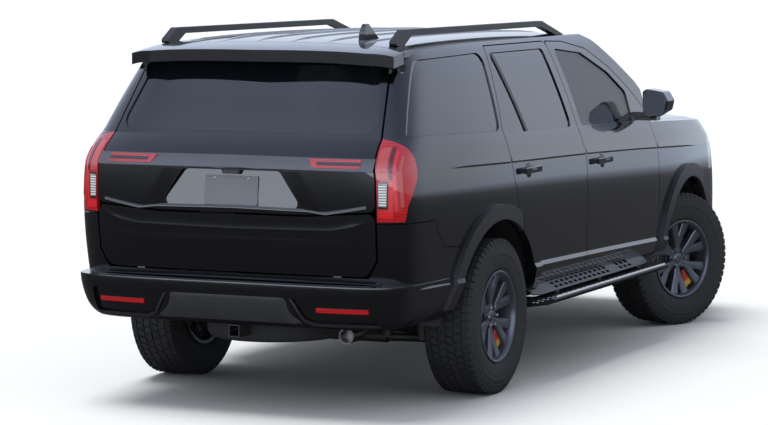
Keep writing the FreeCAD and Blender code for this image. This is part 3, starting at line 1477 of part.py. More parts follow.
# Dashboard with the steering column, and the steering wheel
dash_x = dash_rear_share * half_length
dash_points = [
    (dash_x, dash_low), (firewall_x - seat_gap, dash_low), (firewall_x - seat_gap, dash_high),
    (dash_x + wheel_ring, dash_high), (dash_x, dash_high - wheel_ring / 2)]
dash_half = section(8)[2] - door_wall - skin_gap - skin_gap
dash = prism_y(dash_points, -dash_half, dash_half, seat_head_thick / 3)
centre = V(*wheel_centre)
toward = V(-cos(radians(wheel_tilt)), 0, sin(radians(wheel_tilt)))
column_start = centre - toward * (wheel_hub_deep / 2 + seat_gap)
column = rod(column_start, column_start - toward * (2 * wheel_ring), column_radius)
keep("dashboard", joined([dash, column]))
ring = Part.makeTorus(wheel_ring, wheel_grip, centre, toward)
hub = rod(centre - toward * (wheel_hub_deep / 2), centre + toward * (wheel_hub_deep / 2), wheel_hub)
bars = []
for angle in (90, 180, 270):
    out = FreeCAD.Rotation(toward, angle + steer_rest * steer_ratio).multVec(V(sin(radians(wheel_tilt)), 0, cos(radians(wheel_tilt))))
    bars.append(rod(centre, centre + out * wheel_ring, wheel_grip * 0.8))
keep("steering_wheel", joined([ring, hub] + bars))

for name, shape in pieces.items():
    print(name, len(shape.Solids), shape.isValid(), round(shape.Volume / 1e6, 1))
    shape.exportStep("parts/" + name + ".step")
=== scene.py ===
import bpy
import bmesh
import json
import math
import numpy as np
from mathutils import Matrix, Vector
from mathutils.bvhtree import BVHTree


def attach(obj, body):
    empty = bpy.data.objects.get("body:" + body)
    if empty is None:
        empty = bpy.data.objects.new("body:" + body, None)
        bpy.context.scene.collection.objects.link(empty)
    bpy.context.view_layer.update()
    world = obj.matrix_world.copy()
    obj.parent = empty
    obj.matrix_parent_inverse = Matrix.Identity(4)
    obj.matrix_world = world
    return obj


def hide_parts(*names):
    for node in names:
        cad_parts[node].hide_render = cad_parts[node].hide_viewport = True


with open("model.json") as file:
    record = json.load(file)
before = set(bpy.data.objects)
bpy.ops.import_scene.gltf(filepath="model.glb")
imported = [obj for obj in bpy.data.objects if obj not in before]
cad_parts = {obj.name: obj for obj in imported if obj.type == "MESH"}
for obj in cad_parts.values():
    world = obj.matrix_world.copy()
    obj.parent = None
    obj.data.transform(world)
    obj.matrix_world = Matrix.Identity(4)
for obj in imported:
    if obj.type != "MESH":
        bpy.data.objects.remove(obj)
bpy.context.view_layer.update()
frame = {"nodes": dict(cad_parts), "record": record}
nodes = frame["nodes"]
print("frame loaded,", len(nodes), "nodes")

# Units: tables that repeat the body's lines are in millimetres, meshes are in metres
mm = 0.001


def metres(*values):
    return tuple(v * mm for v in values)


def placed(name, data):
    piece = bpy.data.objects.new(name, data)
    bpy.context.scene.collection.objects.link(piece)
    return piece


# Shader maths: a link stands for a socket, and an expression on links adds Math nodes
class Link:
    def __init__(self, finish, socket):
        self.finish, self.socket = finish, socket

    def maths(self, operation, *others):
        return self.finish.get("Math", {"operation": operation}, dict(enumerate(others)))

    def __add__(self, other):
        return self.maths("ADD", self, other)

    def __radd__(self, other):
        return self.maths("ADD", other, self)

    def __sub__(self, other):
        return self.maths("SUBTRACT", self, other)

    def __rsub__(self, other):
        return self.maths("SUBTRACT", other, self)

    def __mul__(self, other):
        return self.maths("MULTIPLY", self, other)

    def __rmul__(self, other):
        return self.maths("MULTIPLY", other, self)

    def __truediv__(self, other):
        return self.maths("DIVIDE", self, other)

    def clamped(self):
        return self.maths("MAXIMUM", self.maths("MINIMUM", self, 1), 0)


class Finish:
    def __init__(self, name, tree=None):
        self.material = None if tree else bpy.data.materials.new(name)
        if self.material:
            self.material.use_nodes = True
        self.tree = tree or self.material.node_tree
        self.tree.nodes.clear()

    def make(self, kind, settings=None, sockets=None):
        node = self.tree.nodes.new("ShaderNode" + kind)
        for key, value in (settings or {}).items():
            if key == "stops":
                for i, (place, colour) in enumerate(value):
                    stop = node.color_ramp.elements[i] if i < 2 else node.color_ramp.elements.new(place)
                    stop.position, stop.color = place, (*colour, 1)
            else:
                setattr(node, key, value)
        for key, value in (sockets or {}).items():
            if isinstance(value, Link):
                self.tree.links.new(value.socket, node.inputs[key])
            elif value is not None:
                node.inputs[key].default_value = value
        return node

    def get(self, kind, settings=None, sockets=None, output=0):
        return Link(self, self.make(kind, settings, sockets).outputs[output])

    def place(self):
        return self.get("TexCoord", output="Object")

    def along(self, axis):
        return self.get("SeparateXYZ", sockets={0: self.place()}, output=axis)

    def noise(self, scale, detail=3, rough=0.5, stretch=None):
        where = self.place()
        if stretch:
            where = self.get("Mapping", sockets={0: where, "Scale": stretch})
        return self.get("TexNoise", sockets={
            "Vector": where, "Scale": scale, "Detail": detail, "Roughness": rough})

    # A mix of two numbers, or of two colours or links to colours
    def between(self, share, low, high):
        if isinstance(low, (int, float)):
            return self.get("Mix", {"data_type": "FLOAT"}, {0: share, 2: low, 3: high})
        low, high = [c if isinstance(c, Link) else (*c, 1) for c in (low, high)]
        return self.get("Mix", {"data_type": "RGBA"}, {0: share, 6: low, 7: high}, 2)

    def bump(self, height, strength, distance):
        return self.get("Bump", sockets={"Height": height, "Strength": strength, "Distance": distance})

    def surface(self, **sockets):
        named = {key.replace("_", " "): value for key, value in sockets.items()}
        shader = self.get("BsdfPrincipled", sockets=named)
        self.make("OutputMaterial", sockets={0: shader})
        return self.material


# Finishes. Each reads the piece's own place, in metres.
paintLook = {"colour": (0.0035, 0.0038, 0.005), "dust": (0.012, 0.012, 0.013), "dustTop": 0.62,
             "dustShare": 0.6, "rough": (0.16, 0.34), "peel": 0.02}


def makePaint():
    f = Finish("blackPaint")
    low = (1 - f.along("Z") / paintLook["dustTop"]).clamped()
    dust = (f.noise(9, 5, 0.6) * low * paintLook["dustShare"]).clamped()
    colour = f.between(dust, paintLook["colour"], paintLook["dust"])
    rough = f.between(dust, *paintLook["rough"])
    peel = f.bump(f.noise(260, 2), paintLook["peel"], 0.0004)
    return f.surface(Base_Color=colour, Roughness=rough, Specular_IOR_Level=0.35, Coat_Weight=1.0,
                     Coat_Roughness=0.012, Normal=peel)


def makePlastic(name, colour, rough, grain, grainScale, spread=0.25, specular=0.5):
    f = Finish(name)
    patch = f.noise(14, 4)
    light = tuple(min(1, c * (1 + spread)) for c in colour)
    height = f.noise(grainScale, 3, 0.6)
    return f.surface(Base_Color=f.between(patch, colour, light), Specular_IOR_Level=specular,
                     Roughness=f.between(patch, rough, rough + 0.08), Normal=f.bump(height, grain, 0.0006))


def makeMetal(name, colour, rough, wear, scale, stretch=None, metallic=1.0):
    f = Finish(name)
    streak = f.noise(scale, 5, 0.65, stretch)
    return f.surface(Base_Color=f.between(streak, colour, wear), Metallic=metallic,
                     Roughness=f.between(streak, rough, rough + 0.16), Normal=f.bump(streak, 0.12, 0.0008))


def makeGlass(name, colour, alpha, rough=0.015):
    f = Finish(name)
    smear = f.noise(5, 4, 0.6)
    return f.surface(Base_Color=f.between(smear, colour, tuple(c * 1.2 for c in colour)), Alpha=alpha,
                     Roughness=f.between(smear, rough, rough + 0.03), Specular_IOR_Level=0.5, Coat_Weight=1.0,
                     Coat_Roughness=0.01)


def makeRubber():
    f = Finish("tyreRubber")
    fine, wide = f.noise(380, 4, 0.7), f.noise(22, 4, 0.6)
    return f.surface(Base_Color=f.between(wide, (0.014, 0.0142, 0.0148), (0.03, 0.03, 0.031)),
                     Roughness=f.between(wide, 0.62, 0.82), Specular_IOR_Level=0.35,
                     Normal=f.bump(fine, 0.25, 0.0008))


def makeLeather():
    f = Finish("seatLeather")
    cells = f.get("TexVoronoi", {"feature": "DISTANCE_TO_EDGE"}, {"Vector": f.place(), "Scale": 420})
    wide = f.noise(7, 3)
    return f.surface(Base_Color=f.between(wide, (0.028, 0.027, 0.027), (0.045, 0.043, 0.042)),
                     Roughness=f.between(wide, 0.42, 0.56), Normal=f.bump(cells, 0.4, 0.0006))


def makeLamp(name, deep, bright, rough=0.08, way="Z", scale=42):
    f = Finish(name)
    bands = f.get("TexWave", {"wave_type": "BANDS", "bands_direction": way},
                  {"Vector": f.place(), "Scale": scale, "Distortion": 0})
    return f.surface(Base_Color=f.between(bands, deep, bright), Roughness=rough, Coat_Weight=1.0,
                     Coat_Roughness=0.01, Emission_Color=(*bright, 1), Emission_Strength=0.06,
                     Normal=f.bump(bands, 0.15, 0.001))


# Colour, roughness, depth and scale of the grain, spread of the patches, specular level
plastics = {
    "glossTrim": ((0.006, 0.006, 0.007), 0.07, 0.01, 300),
    "satinTrim": ((0.016, 0.016, 0.017), 0.34, 0.12, 700),
    "grainTrim": ((0.022, 0.022, 0.024), 0.52, 0.5, 900),
    "floorPaint": ((0.014, 0.014, 0.015), 0.6, 0.4, 160),
    "cabinPlastic": ((0.02, 0.02, 0.021), 0.55, 0.4, 520),
    "greyLens": ((0.035, 0.038, 0.043), 0.12, 0.05, 200),
    "plateGrey": ((0.15, 0.16, 0.18), 0.42, 0.05, 120, 0.12),
    "accentRed": ((0.30, 0.012, 0.01), 0.3, 0.05, 200),
    "accentYellow": ((0.42, 0.25, 0.015), 0.3, 0.05, 200),
    # Near-black matte for the running boards' holes: painted shade
    "cavityBlack": ((0.002, 0.002, 0.002), 0.85, 0.05, 200, 0.25, 0.05),
    "slateTrim": ((0.03, 0.032, 0.037), 0.3, 0.06, 300),
    "barSatin": ((0.085, 0.092, 0.11), 0.3, 0.04, 260, 0.15),
}
# Colour, roughness, worn colour, scale and stretch of the wear, share of metal
metals = {
    "chassisSteel": ((0.018, 0.018, 0.019), 0.42, (0.04, 0.038, 0.036), 12, None, 0.3),
    "exhaustSteel": ((0.33, 0.32, 0.3), 0.28, (0.2, 0.17, 0.14), 30, (1, 6, 6)),
    "castAlloy": ((0.3, 0.3, 0.31), 0.45, (0.2, 0.2, 0.2), 45),
    "wheelGrey": ((0.1, 0.108, 0.128), 0.26, (0.12, 0.13, 0.15), 60, None, 0.7),
    "brightMetal": ((0.62, 0.63, 0.65), 0.14, (0.5, 0.5, 0.52), 40),
    "silverTrim": ((0.78, 0.8, 0.84), 0.3, (0.66, 0.68, 0.72), 60, None, 0.1),
    "darkSteel": ((0.07, 0.075, 0.09), 0.22, (0.05, 0.05, 0.06), 40, None, 0.8),
    "mirrorGlass": ((0.11, 0.12, 0.14), 0.04, (0.09, 0.1, 0.12), 6, None, 0.9),
}
# Colour and how much it covers
glasses = {"privacyGlass": ((0.006, 0.008, 0.011), 0.9), "clearGlass": ((0.012, 0.015, 0.017), 0.42)}
# Deep and bright colour of the bands, roughness, way and scale of the bands
lamps = {
    "redLamp": ((0.17, 0.002, 0.004), (0.62, 0.012, 0.016)),
    "brightLens": ((0.5, 0.012, 0.016), (0.72, 0.02, 0.024)),
    "deepLens": ((0.06, 0.001, 0.002), (0.12, 0.003, 0.004)),
    "gridLens": ((0.28, 0.03, 0.03), (0.62, 0.09, 0.09), 0.2, "DIAGONAL", 90),
    "blackLens": ((0.012, 0.006, 0.006), (0.03, 0.01, 0.01)),
    "clearStriped": ((0.1, 0.1, 0.11), (0.86, 0.87, 0.9), 0.15, "Z", 24),
}
finishes = {"blackPaint": makePaint(), "tyreRubber": makeRubber(), "seatLeather": makeLeather()}
for make, rows in ((makePlastic, plastics), (makeMetal, metals), (makeGlass, glasses), (makeLamp, lamps)):
    for name, row in rows.items():
        finishes[name] = make(name, *row)
print("finishes made,", len(finishes))

# A slot's finish has the slot's own name, apart from these
otherFinish = {"black_trim": "satinTrim", "clear_lamp": "clearStriped", "tank_plastic": "cabinPlastic"}


def slotFinish(slot):
    first, second = slot.split("_")
    return finishes[otherFinish.get(slot, first + second.title())]


nodeSlots = {part["node"]: part["material_slot"] for part in frame["record"]["subparts"]}
nodeBody = {name: body for body, names in frame["record"]["behaviour"]["bodies"].items() for name in names}
for name, node in nodes.items():
    node.data.materials.clear()
    node.data.materials.append(slotFinish(nodeSlots[name]))

# The body's lines, in millimetres and shares, as the solids have them.
# A section is its height, how much of the rake it takes, half width, rear and front.
bodyLines = {
    "halfLength": 2667, "halfWidth": 1028, "height": 1925,
    "sections": [
        (0.233, 0.3, 0.912, 0.937, 0.969), (0.260, 0.4, 0.951, 0.952, 0.993),
        (0.315, 0.7, 0.978, 0.962, 0.999), (0.326, 0.7, 0.969, 0.963, 1.0),
        (0.395, 0.8, 0.975, 0.973, 0.996), (0.478, 0.9, 0.980, 0.980, 0.988),
        (0.561, 1.0, 0.977, 0.980, 0.979), (0.616, 1.0, 0.966, 0.979, 0.972),
        (0.642, 1.0, 0.957, 0.972, 0.964), (0.670, 1.0, 0.945, 0.953, 0.937),
        (0.695, 1.0, 0.926, 0.929, 0.900), (0.753, 0.7, 0.897, 0.906, 0.900),
        (0.831, 0.4, 0.848, 0.872, 0.900), (0.906, 0.15, 0.796, 0.842, 0.900),
        (0.939, 0, 0.767, 0.827, 0.900), (0.956, 0, 0.732, 0.816, 0.900)],
    "creases": (0, 2, 3, 7, 10, 15), "belt": 10, "shoulder": 8,
    "crown": (14, 55, 60),  # rise, inset, back
    "rake": (-0.056, 0.0331, 0.0091),
    "frontTaper": (110, 0.337, 0.900, 2.5), "rearTaper": (65, -0.487, -0.919, 2),
    "corner": (550, 350), "power": (3.2, 5),
    "frontShares": (0, 0.12, 0.35, 0.58, 0.76, 0.89, 0.965, 1),
    "rearShares": (1, 0.985, 0.94, 0.86, 0.74, 0.55, 0.3, 0),
    "sidePoles": 9, "mainStart": 4, "noseEnd": 14,
    "step": [(0.235, 0.890, 0.975), (0.249, 0.925, 0.990), (0.290, 0.962, 0.996), (0.333, 0.976, 1.0),
             (0.349, 0.976, 0.999)],
    "frontAxle": 1612, "rearAxle": -1500,
}
halfLength, halfWidth, height = bodyLines["halfLength"], bodyLines["halfWidth"], bodyLines["height"]


def rake(x):
    start, slope, bend = bodyLines["rake"]
    d = x - start * halfLength
    return -slope * d - bend * d * d / halfLength


def taper(x):
    for way, (most, start, end, power) in ((1, bodyLines["frontTaper"]), (-1, bodyLines["rearTaper"])):
        if way * x > way * start * halfLength:
            return most * ((x - start * halfLength) / ((end - start) * halfLength)) ** power
    return 0


def cornerCurve(share, power):
    return (1 - min(share, 1) ** power) ** (1 / power)


def section(row):
    z, lift, half, rear, front = bodyLines["sections"][row]
    return z * height, lift, half * halfWidth, -rear * halfLength, front * halfLength


def halfLoop(values, inset):
    z, lift, half, rear, front = values
    half, rear, front = half - inset, rear + inset, front - inset
    frontStart, rearStart = front - bodyLines["corner"][0] + inset, rear + bodyLines["corner"][1] - inset
    frontPower, rearPower = bodyLines["power"]
    plan = []
    for share in bodyLines["frontShares"]:
        plan.append((frontStart + (front - frontStart) * cornerCurve(share, frontPower),
                     share * (half - taper(frontStart))))
    for i in range(bodyLines["sidePoles"]):
        x = frontStart + (rearStart - frontStart) * (i + 1) / (bodyLines["sidePoles"] + 1)
        plan.append((x, half - taper(x)))
    for share in bodyLines["rearShares"]:
        plan.append((rearStart + (rear - rearStart) * cornerCurve(share, rearPower),
                     share * (half - taper(rearStart))))
    return [(x, -y, z + lift * rake(x)) for x, y in plan]


def flipped(poles):
    return [(x, -y, z) for x, y, z in reversed(poles)]


def aroundRear(poles):
    start = bodyLines["mainStart"]
    return poles[start:] + flipped(poles[start:-1])


def aroundNose(poles):
    end = bodyLines["noseEnd"]
    return flipped(poles[1:end]) + poles[:end]


def basis(t, count, degree):
    span = count - degree
    knots = np.concatenate([np.zeros(degree), np.arange(span + 1.0), np.full(degree, float(span))])
    t = np.clip(t, 0, span - 1e-9)[:, None]
    level = ((knots[:-1] <= t) & (t < knots[1:])).astype(float)
    for d in range(1, degree + 1):
        rise, fall = knots[d:-1] - knots[:-d - 1], knots[d + 1:] - knots[1:-d]
        up = (t - knots[:-d - 1]) / np.where(rise > 0, rise, 1) * (rise > 0)
        down = (knots[d + 1:] - t) / np.where(fall > 0, fall, 1) * (fall > 0)
        level = up * level[:, :-1] + down * level[:, 1:]
    return level


# One smooth sheet through rows of control points, with a tree that finds the nearest place on it
class Sheet:
    def __init__(self, rows, cell=0.04):
        self.poles = np.array(rows, float) * mm
        self.across, self.along = self.poles.shape[:2]
        self.degrees = min(3, self.across - 1), min(3, self.along - 1)
        self.spans = self.across - self.degrees[0], self.along - self.degrees[1]
        steps = []
        for axis in (0, 1):
            size = np.linalg.norm(np.diff(self.poles, axis=axis), axis=2).sum(axis=axis).max()
            steps.append(max(4, int(size / cell)))
        places = [np.linspace(0, span, count + 1) for span, count in zip(self.spans, steps)]
        v, u = np.meshgrid(*places, indexing="ij")
        self.grid = np.stack([v.ravel(), u.ravel()], 1)
        wide = steps[1] + 1
        faces = [(r * wide + c, r * wide + c + 1, (r + 1) * wide + c + 1, (r + 1) * wide + c)
                 for r in range(steps[0]) for c in range(steps[1])]
        self.faceStart = [f[0] for f in faces]
        self.half = np.array([self.spans[0] / steps[0], self.spans[1] / steps[1]]) / 2
        spots = self.at(self.grid)
        self.low, self.high = spots.min(axis=0) - 0.01, spots.max(axis=0) + 0.01
        self.tree = BVHTree.FromPolygons(spots.tolist(), faces)

    def at(self, places):
        rows = basis(places[:, 0], self.across, self.degrees[0])
        columns = basis(places[:, 1], self.along, self.degrees[1])
        lines = columns @ self.poles.transpose(1, 0, 2).reshape(self.along, -1)
        return np.einsum("ni,nid->nd", rows, lines.reshape(len(places), self.across, 3))

    def slopes(self, places):
        step = 1e-4
        result = []
        for axis in (0, 1):
            more, less = places.copy(), places.copy()
            more[:, axis] = np.minimum(places[:, axis] + step, self.spans[axis] - 1e-7)
            less[:, axis] = np.maximum(places[:, axis] - step, 0)
            result.append((self.at(more) - self.at(less)) / (more[:, axis] - less[:, axis])[:, None])
        return result

    def nearest(self, points, rounds=3):
        start = [self.faceStart[self.tree.find_nearest(Vector(p))[2]] for p in points]
        places = self.grid[start] + self.half
        for i in range(rounds):
            dv, du = self.slopes(places)
            away = np.asarray(points) - self.at(places)
            a, b, c = (dv * dv).sum(1), (dv * du).sum(1), (du * du).sum(1)
            p, q = (dv * away).sum(1), (du * away).sum(1)
            det = np.maximum(a * c - b * b, 1e-18)
            places = places + np.stack([(c * p - b * q) / det, (a * q - b * p) / det], 1)
            places = np.clip(places, 0, np.array(self.spans) - 1e-7)
        dv, du = self.slopes(places)
        normals = np.cross(du, dv)
        normals /= np.maximum(np.linalg.norm(normals, axis=1), 1e-12)[:, None]
        return self.at(places), normals


# Skin read from a solid's own mesh, for places that lie on no sheet
class MeshSkin:
    def __init__(self, name):
        data = nodes[name].data
        spots = [v.co[:] for v in data.vertices]
        self.tree = BVHTree.FromPolygons(spots, [p.vertices[:] for p in data.polygons])

    def nearest(self, points):
        found = [self.tree.find_nearest(Vector(p))[:2] for p in points]
        return np.array([f[0] for f in found]), np.array([f[1] for f in found])

    def top(self, x, y):
        return self.tree.ray_cast(Vector((x, y, 1)), Vector((0, 0, -1)))[0].z


def strips(rows, breaks):
    return [Sheet(rows[low:high + 1]) for low, high in zip(breaks, breaks[1:])]


def mainStrip(inset):
    rows = [aroundRear(halfLoop(section(r), inset)) for r in range(len(bodyLines["sections"]))]
    return strips(rows, bodyLines["creases"])


def crownSection():
    z, lift, half, rear, front = section(bodyLines["belt"])
    rise, inset, back = bodyLines["crown"]
    return z + rise, lift, half - inset, rear, front - back


def noseStrip(inset):
    belt = bodyLines["belt"]
    rows = [aroundNose(halfLoop(section(r), inset)) for r in range(belt + 1)]
    rows.append(aroundNose(halfLoop(crownSection(), inset)))
    return strips(rows, (0, 2, 3, 7, belt, belt + 1))


def stepStrip():
    rows = [aroundRear(halfLoop((z * height, 0, w * halfWidth, -r * halfLength, bodyLines["frontAxle"]), 0))
            for z, w, r in bodyLines["step"]]
    return [Sheet(rows)]


roofLines = {
    "rows": [(0.24, 0.936), (0.20, 0.951), (0.10, 0.968), (-0.08, 0.9785), (-0.34, 0.9825), (-0.60, 0.981),
             (-0.78, 0.975), (-0.85, 0.961), (-0.90, 0.944)],
    "columns": [(-1, 1), (-0.93, 0.62), (-0.8, 0.36), (-0.5, 0.11), (0, 0), (0.5, 0.11), (0.8, 0.36),
                (0.93, 0.62), (1, 1)],  # place and fall
    "crown": 46, "edge": 0.732,
}


def roofSheet():
    half = roofLines["edge"] * halfWidth
    return [Sheet([[(x * halfLength, y * half, z * height - fall * roofLines["crown"])
                    for y, fall in roofLines["columns"]] for x, z in roofLines["rows"]])]


windshieldLines = {"low": (0.506, 0.668), "top": (0.189, 0.957), "halves": (935, 775), "sweeps": (165, 110),
                   "bulge": 34, "rows": (-0.08, 0.2, 0.5, 0.8, 1.1),
                   "columns": (-1, -0.75, -0.4, 0, 0.4, 0.75, 1)}


def windshieldSheet(forward):
    w = windshieldLines
    low = np.array([w["low"][0] * halfLength, 0, w["low"][1] * height])
    rise = np.array([w["top"][0] * halfLength, 0, w["top"][1] * height]) - low
    normal = np.array([rise[2], 0, -rise[0]]) / math.hypot(rise[0], rise[2])
    rows = []
    for share in w["rows"]:
        middle = low + rise * share + normal * (4 * w["bulge"] * share * (1 - share) + forward)
        half = w["halves"][0] + (w["halves"][1] - w["halves"][0]) * share
        sweep = w["sweeps"][0] + (w["sweeps"][1] - w["sweeps"][0]) * share
        rows.append([(middle[0] - sweep * y * y, y * half, middle[2]) for y in w["columns"]])
    return [Sheet(rows)]


hoodLines = {"halfFront": 845, "halfRear": 886, "dome": 46, "rear": 0.503, "sweep": 165,
             "columns": (-1, -0.85, -0.6, -0.3, 0, 0.3, 0.6, 0.85, 1), "backs": (0.14, 0.32, 0.55, 0.8, 1),
             "domes": (0, 0.2, 0.45, 0.65)}


def hoodSheet():
    h = hoodLines
    corner, power = bodyLines["corner"][0], bodyLines["power"][0]
    fronts = [section(bodyLines["shoulder"]), section(bodyLines["shoulder"] + 1), section(bodyLines["belt"]),
              crownSection()]
    rows = []
    for values, dome in zip(fronts, h["domes"]):
        row = []
        start = values[4] - corner
        for share in h["columns"]:
            y = share * h["halfFront"]
            x = start + corner * cornerCurve(abs(y) / (values[2] - taper(start)), power)
            row.append((x, y, values[0] + values[1] * rake(x) + dome * h["dome"] * (1 - share * share)))
        rows.append(row)
    for back in h["backs"]:
        row = []
        for share, ahead in zip(h["columns"], rows[3]):
            x = ahead[0] + (h["rear"] * halfLength - h["sweep"] * share * share - ahead[0]) * back
            y = share * (h["halfFront"] + (h["halfRear"] - h["halfFront"]) * back)
            row.append((x, y, crownSection()[0] + rake(x) + h["dome"] * (1 - share * share)))
        rows.append(row)
    return [Sheet(rows)]


skins = {"body": mainStrip(0), "nose": noseStrip(0), "bodyOut": mainStrip(-25), "noseOut": noseStrip(-25),
         "pane": mainStrip(8) + mainStrip(14), "roof": roofSheet(), "step": stepStrip(), "hood": hoodSheet(),
         "windshield": windshieldSheet(6) + windshieldSheet(0), "grille": noseStrip(12),
         "rear_bumper": [MeshSkin("rear_bumper")], "tail_lamps": [MeshSkin("tail_lamps")]}
print("body lines drawn")


# A painted panel: the solid's own mesh, refined where it lies on a sheet, with the sheet's exact slopes
panelLook = {"longest": 0.07, "reach": 0.0019, "facing": 0.93, "rounds": 3}


def onSheets(mesh, sheets):
    layer = mesh.faces.layers.int.new("sheet")
    mesh.faces.ensure_lookup_table()
    centres = np.array([f.calc_center_median() for f in mesh.faces])
    facing = np.array([f.normal for f in mesh.faces])
    best = np.full(len(centres), panelLook["reach"])
    owner = np.zeros(len(centres), int)
    for i, sheet in enumerate(sheets):
        inside = np.nonzero(((centres > sheet.low) & (centres < sheet.high)).all(axis=1))[0]
        if not len(inside):
            continue
        points, normals = sheet.nearest(centres[inside], 2)
        far = np.linalg.norm(points - centres[inside], axis=1)
        good = (far < best[inside]) & (abs((normals * facing[inside]).sum(1)) > panelLook["facing"])
        best[inside[good]], owner[inside[good]] = far[good], i + 1
    for face, number in zip(mesh.faces, owner):
        face[layer] = int(number)
    return layer


def refine(mesh, layer):
    for i in range(panelLook["rounds"]):
        edges = {e for f in mesh.faces if f[layer] for e in f.edges if e.calc_length() > panelLook["longest"]}
        if not edges:
            break
        bmesh.ops.subdivide_edges(mesh, edges=list(edges), cuts=1)
        bmesh.ops.triangulate(mesh, faces=[f for f in mesh.faces if len(f.verts) > 3])


def panelPiece(name, verts, faces, normals):
    data = bpy.data.meshes.new(name + "Skin")
    data.from_pydata(verts, [], faces)
    data.shade_smooth()
    data.normals_split_custom_set(normals)
    data.materials.append(slotFinish(nodeSlots[name]))
    piece = placed(name + "Skin", data)
    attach(piece, nodeBody[name])
    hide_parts(name)
    return piece


def smoothPanel(name, skinNames, twin=None):
    sheets = [s for skin in skinNames for s in skins[skin]]
    mesh = bmesh.new()
    mesh.from_mesh(nodes[name].data)
    bmesh.ops.remove_doubles(mesh, verts=mesh.verts[:], dist=3e-6)
    layer = onSheets(mesh, sheets)
    refine(mesh, layer)
    mesh.verts.index_update()
    mesh.faces.ensure_lookup_table()
    slopes = {}
    for i, sheet in enumerate(sheets):
        corners = {v for f in mesh.faces if f[layer] == i + 1 for v in f.verts}
        if not corners:
            continue
        corners = sorted(corners, key=lambda v: v.index)
        points, normals = sheet.nearest(np.array([v.co for v in corners]), 2)
        for v, p, n in zip(corners, points.tolist(), normals.tolist()):
            if (v.co - Vector(p)).length < 2 * panelLook["reach"]:
                v.co = p
            slopes[i + 1, v.index] = Vector(n)
    mesh.normal_update()
    faces, bends = [], []
    for face in mesh.faces:
        faces.append([v.index for v in face.verts])
        for v in face.verts:
            normal = slopes.get((face[layer], v.index))
            if normal is None:
                bends.append(face.normal[:])
            else:
                bends.append((normal if normal.dot(face.normal) > 0 else -normal)[:])
    verts = [v.co[:] for v in mesh.verts]
    mesh.free()
    made = [panelPiece(name, verts, faces, bends)]
    if twin:
        other = [(x, -y, z) for x, y, z in verts]
        turned, at = [], 0
        for face in faces:
            turned += [(x, -y, z) for x, y, z in reversed(bends[at:at + len(face)])]
            at += len(face)
        made.append(panelPiece(twin, other, [face[::-1] for face in faces], turned))
    return made


panelSkins = {
    "front_door_right": ("body",), "rear_door_right": ("body", "bodyOut"), "body_side_right": ("body",),
    "front_fenders": ("nose",), "hood": ("hood",), "roof_panel": ("roof",), "liftgate": ("body", "roof"),
    "tailgate": ("body",), "rear_bumper": ("step", "body"), "front_bumper": ("nose",),
    "arch_mouldings": ("noseOut", "bodyOut"),
    "front_door_glass_right": ("pane",), "rear_door_glass_right": ("pane",),
    "liftgate_glass": ("pane",), "fixed_glass": ("pane", "windshield"),
    "tail_lamps": ("body",), "headlamps": ("nose",), "grille": ("grille",),
}
panels = []
for name, skin in panelSkins.items():
    twin = name.replace("_right", "_left") if name.endswith("_right") else None
    panels += smoothPanel(name, skin, twin)
print("panels smoothed,", sum(len(p.data.polygons) for p in panels), "faces")


# Plain mesh pieces, in metres
def addPiece(name, data, finish, body, slot, replaced=(), sharp=32):
    if not data.materials:
        data.materials.append(finishes[finish])
    data.shade_smooth()
    data.set_sharp_from_angle(angle=math.radians(sharp))
    piece = placed(name, data)
    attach(piece, body)
    if replaced:
        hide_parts(*replaced)
    return piece


# The same piece on both sides, modelled on the right
def addTwins(name, data, finish, body, slot):
    addPiece(name + "Right", data, finish, body, slot)
    addPiece(name + "Left", mirroredMesh(data), finish, body.replace("right", "left"), slot)


# A mesh whose faces are turned outwards
def meshOf(name, verts, faces):
    data = bpy.data.meshes.new(name)
    data.from_pydata([tuple(v) for v in verts], [], faces)
    mesh = bmesh.new()
    mesh.from_mesh(data)
    bmesh.ops.recalc_face_normals(mesh, faces=mesh.faces[:])
    mesh.to_mesh(data)
    mesh.free()
    return data


def joinedMesh(name, parts):
    mesh = bmesh.new()
    for part in parts:
        mesh.from_mesh(part)
    data = bpy.data.meshes.new(name)
    mesh.to_mesh(data)
    mesh.free()
    return data


def mirroredMesh(data):
    other = data.copy()
    other.transform(Matrix.Diagonal((1, -1, 1, 1)))
    other.flip_normals()
    return other


# A closed ring turned about the Y axis from (y, radius) pairs in millimetres
def turnedMesh(name, outline, steps, centre=(0, 0)):
    verts, faces = [], []
    count = len(outline)
    for i in range(steps):
        angle = 2 * math.pi * i / steps
        for y, r in outline:
            verts.append(metres(centre[0] + r * math.sin(angle), y, centre[1] + r * math.cos(angle)))
    for i in range(steps):
        for j in range(count):
            a, b = i * count + j, i * count + (j + 1) % count
            c, d = ((i + 1) % steps) * count + (j + 1) % count, ((i + 1) % steps) * count + j
            faces.append((a, b, c, d))
    return meshOf(name, verts, faces)


# A closed skin over rings of points, in metres
def loftedMesh(name, rings):
    count = len(rings[0])
    verts = [p for ring in rings for p in ring]
    faces = [tuple(range(count)), tuple(len(verts) - count + i for i in range(count))]
    for i in range(len(rings) - 1):
        for j in range(count):
            faces.append((i * count + j, i * count + (j + 1) % count,
                          (i + 1) * count + (j + 1) % count, (i + 1) * count + j))
    return meshOf(name, verts, faces)


def tubeMesh(name, path, radius, sides=12):
    rings = []
    for i, p in enumerate(path):
        a, b = Vector(path[max(i - 1, 0)]), Vector(path[min(i + 1, len(path) - 1)])
        ahead = (b - a).normalized()
        across = ahead.cross(Vector((0.13, 0.21, 1))).normalized()
        over = across.cross(ahead)
        rings.append([Vector(p) + radius * (math.cos(t) * across + math.sin(t) * over)
                      for t in (2 * math.pi * k / sides for k in range(sides))])
    return loftedMesh(name, rings)


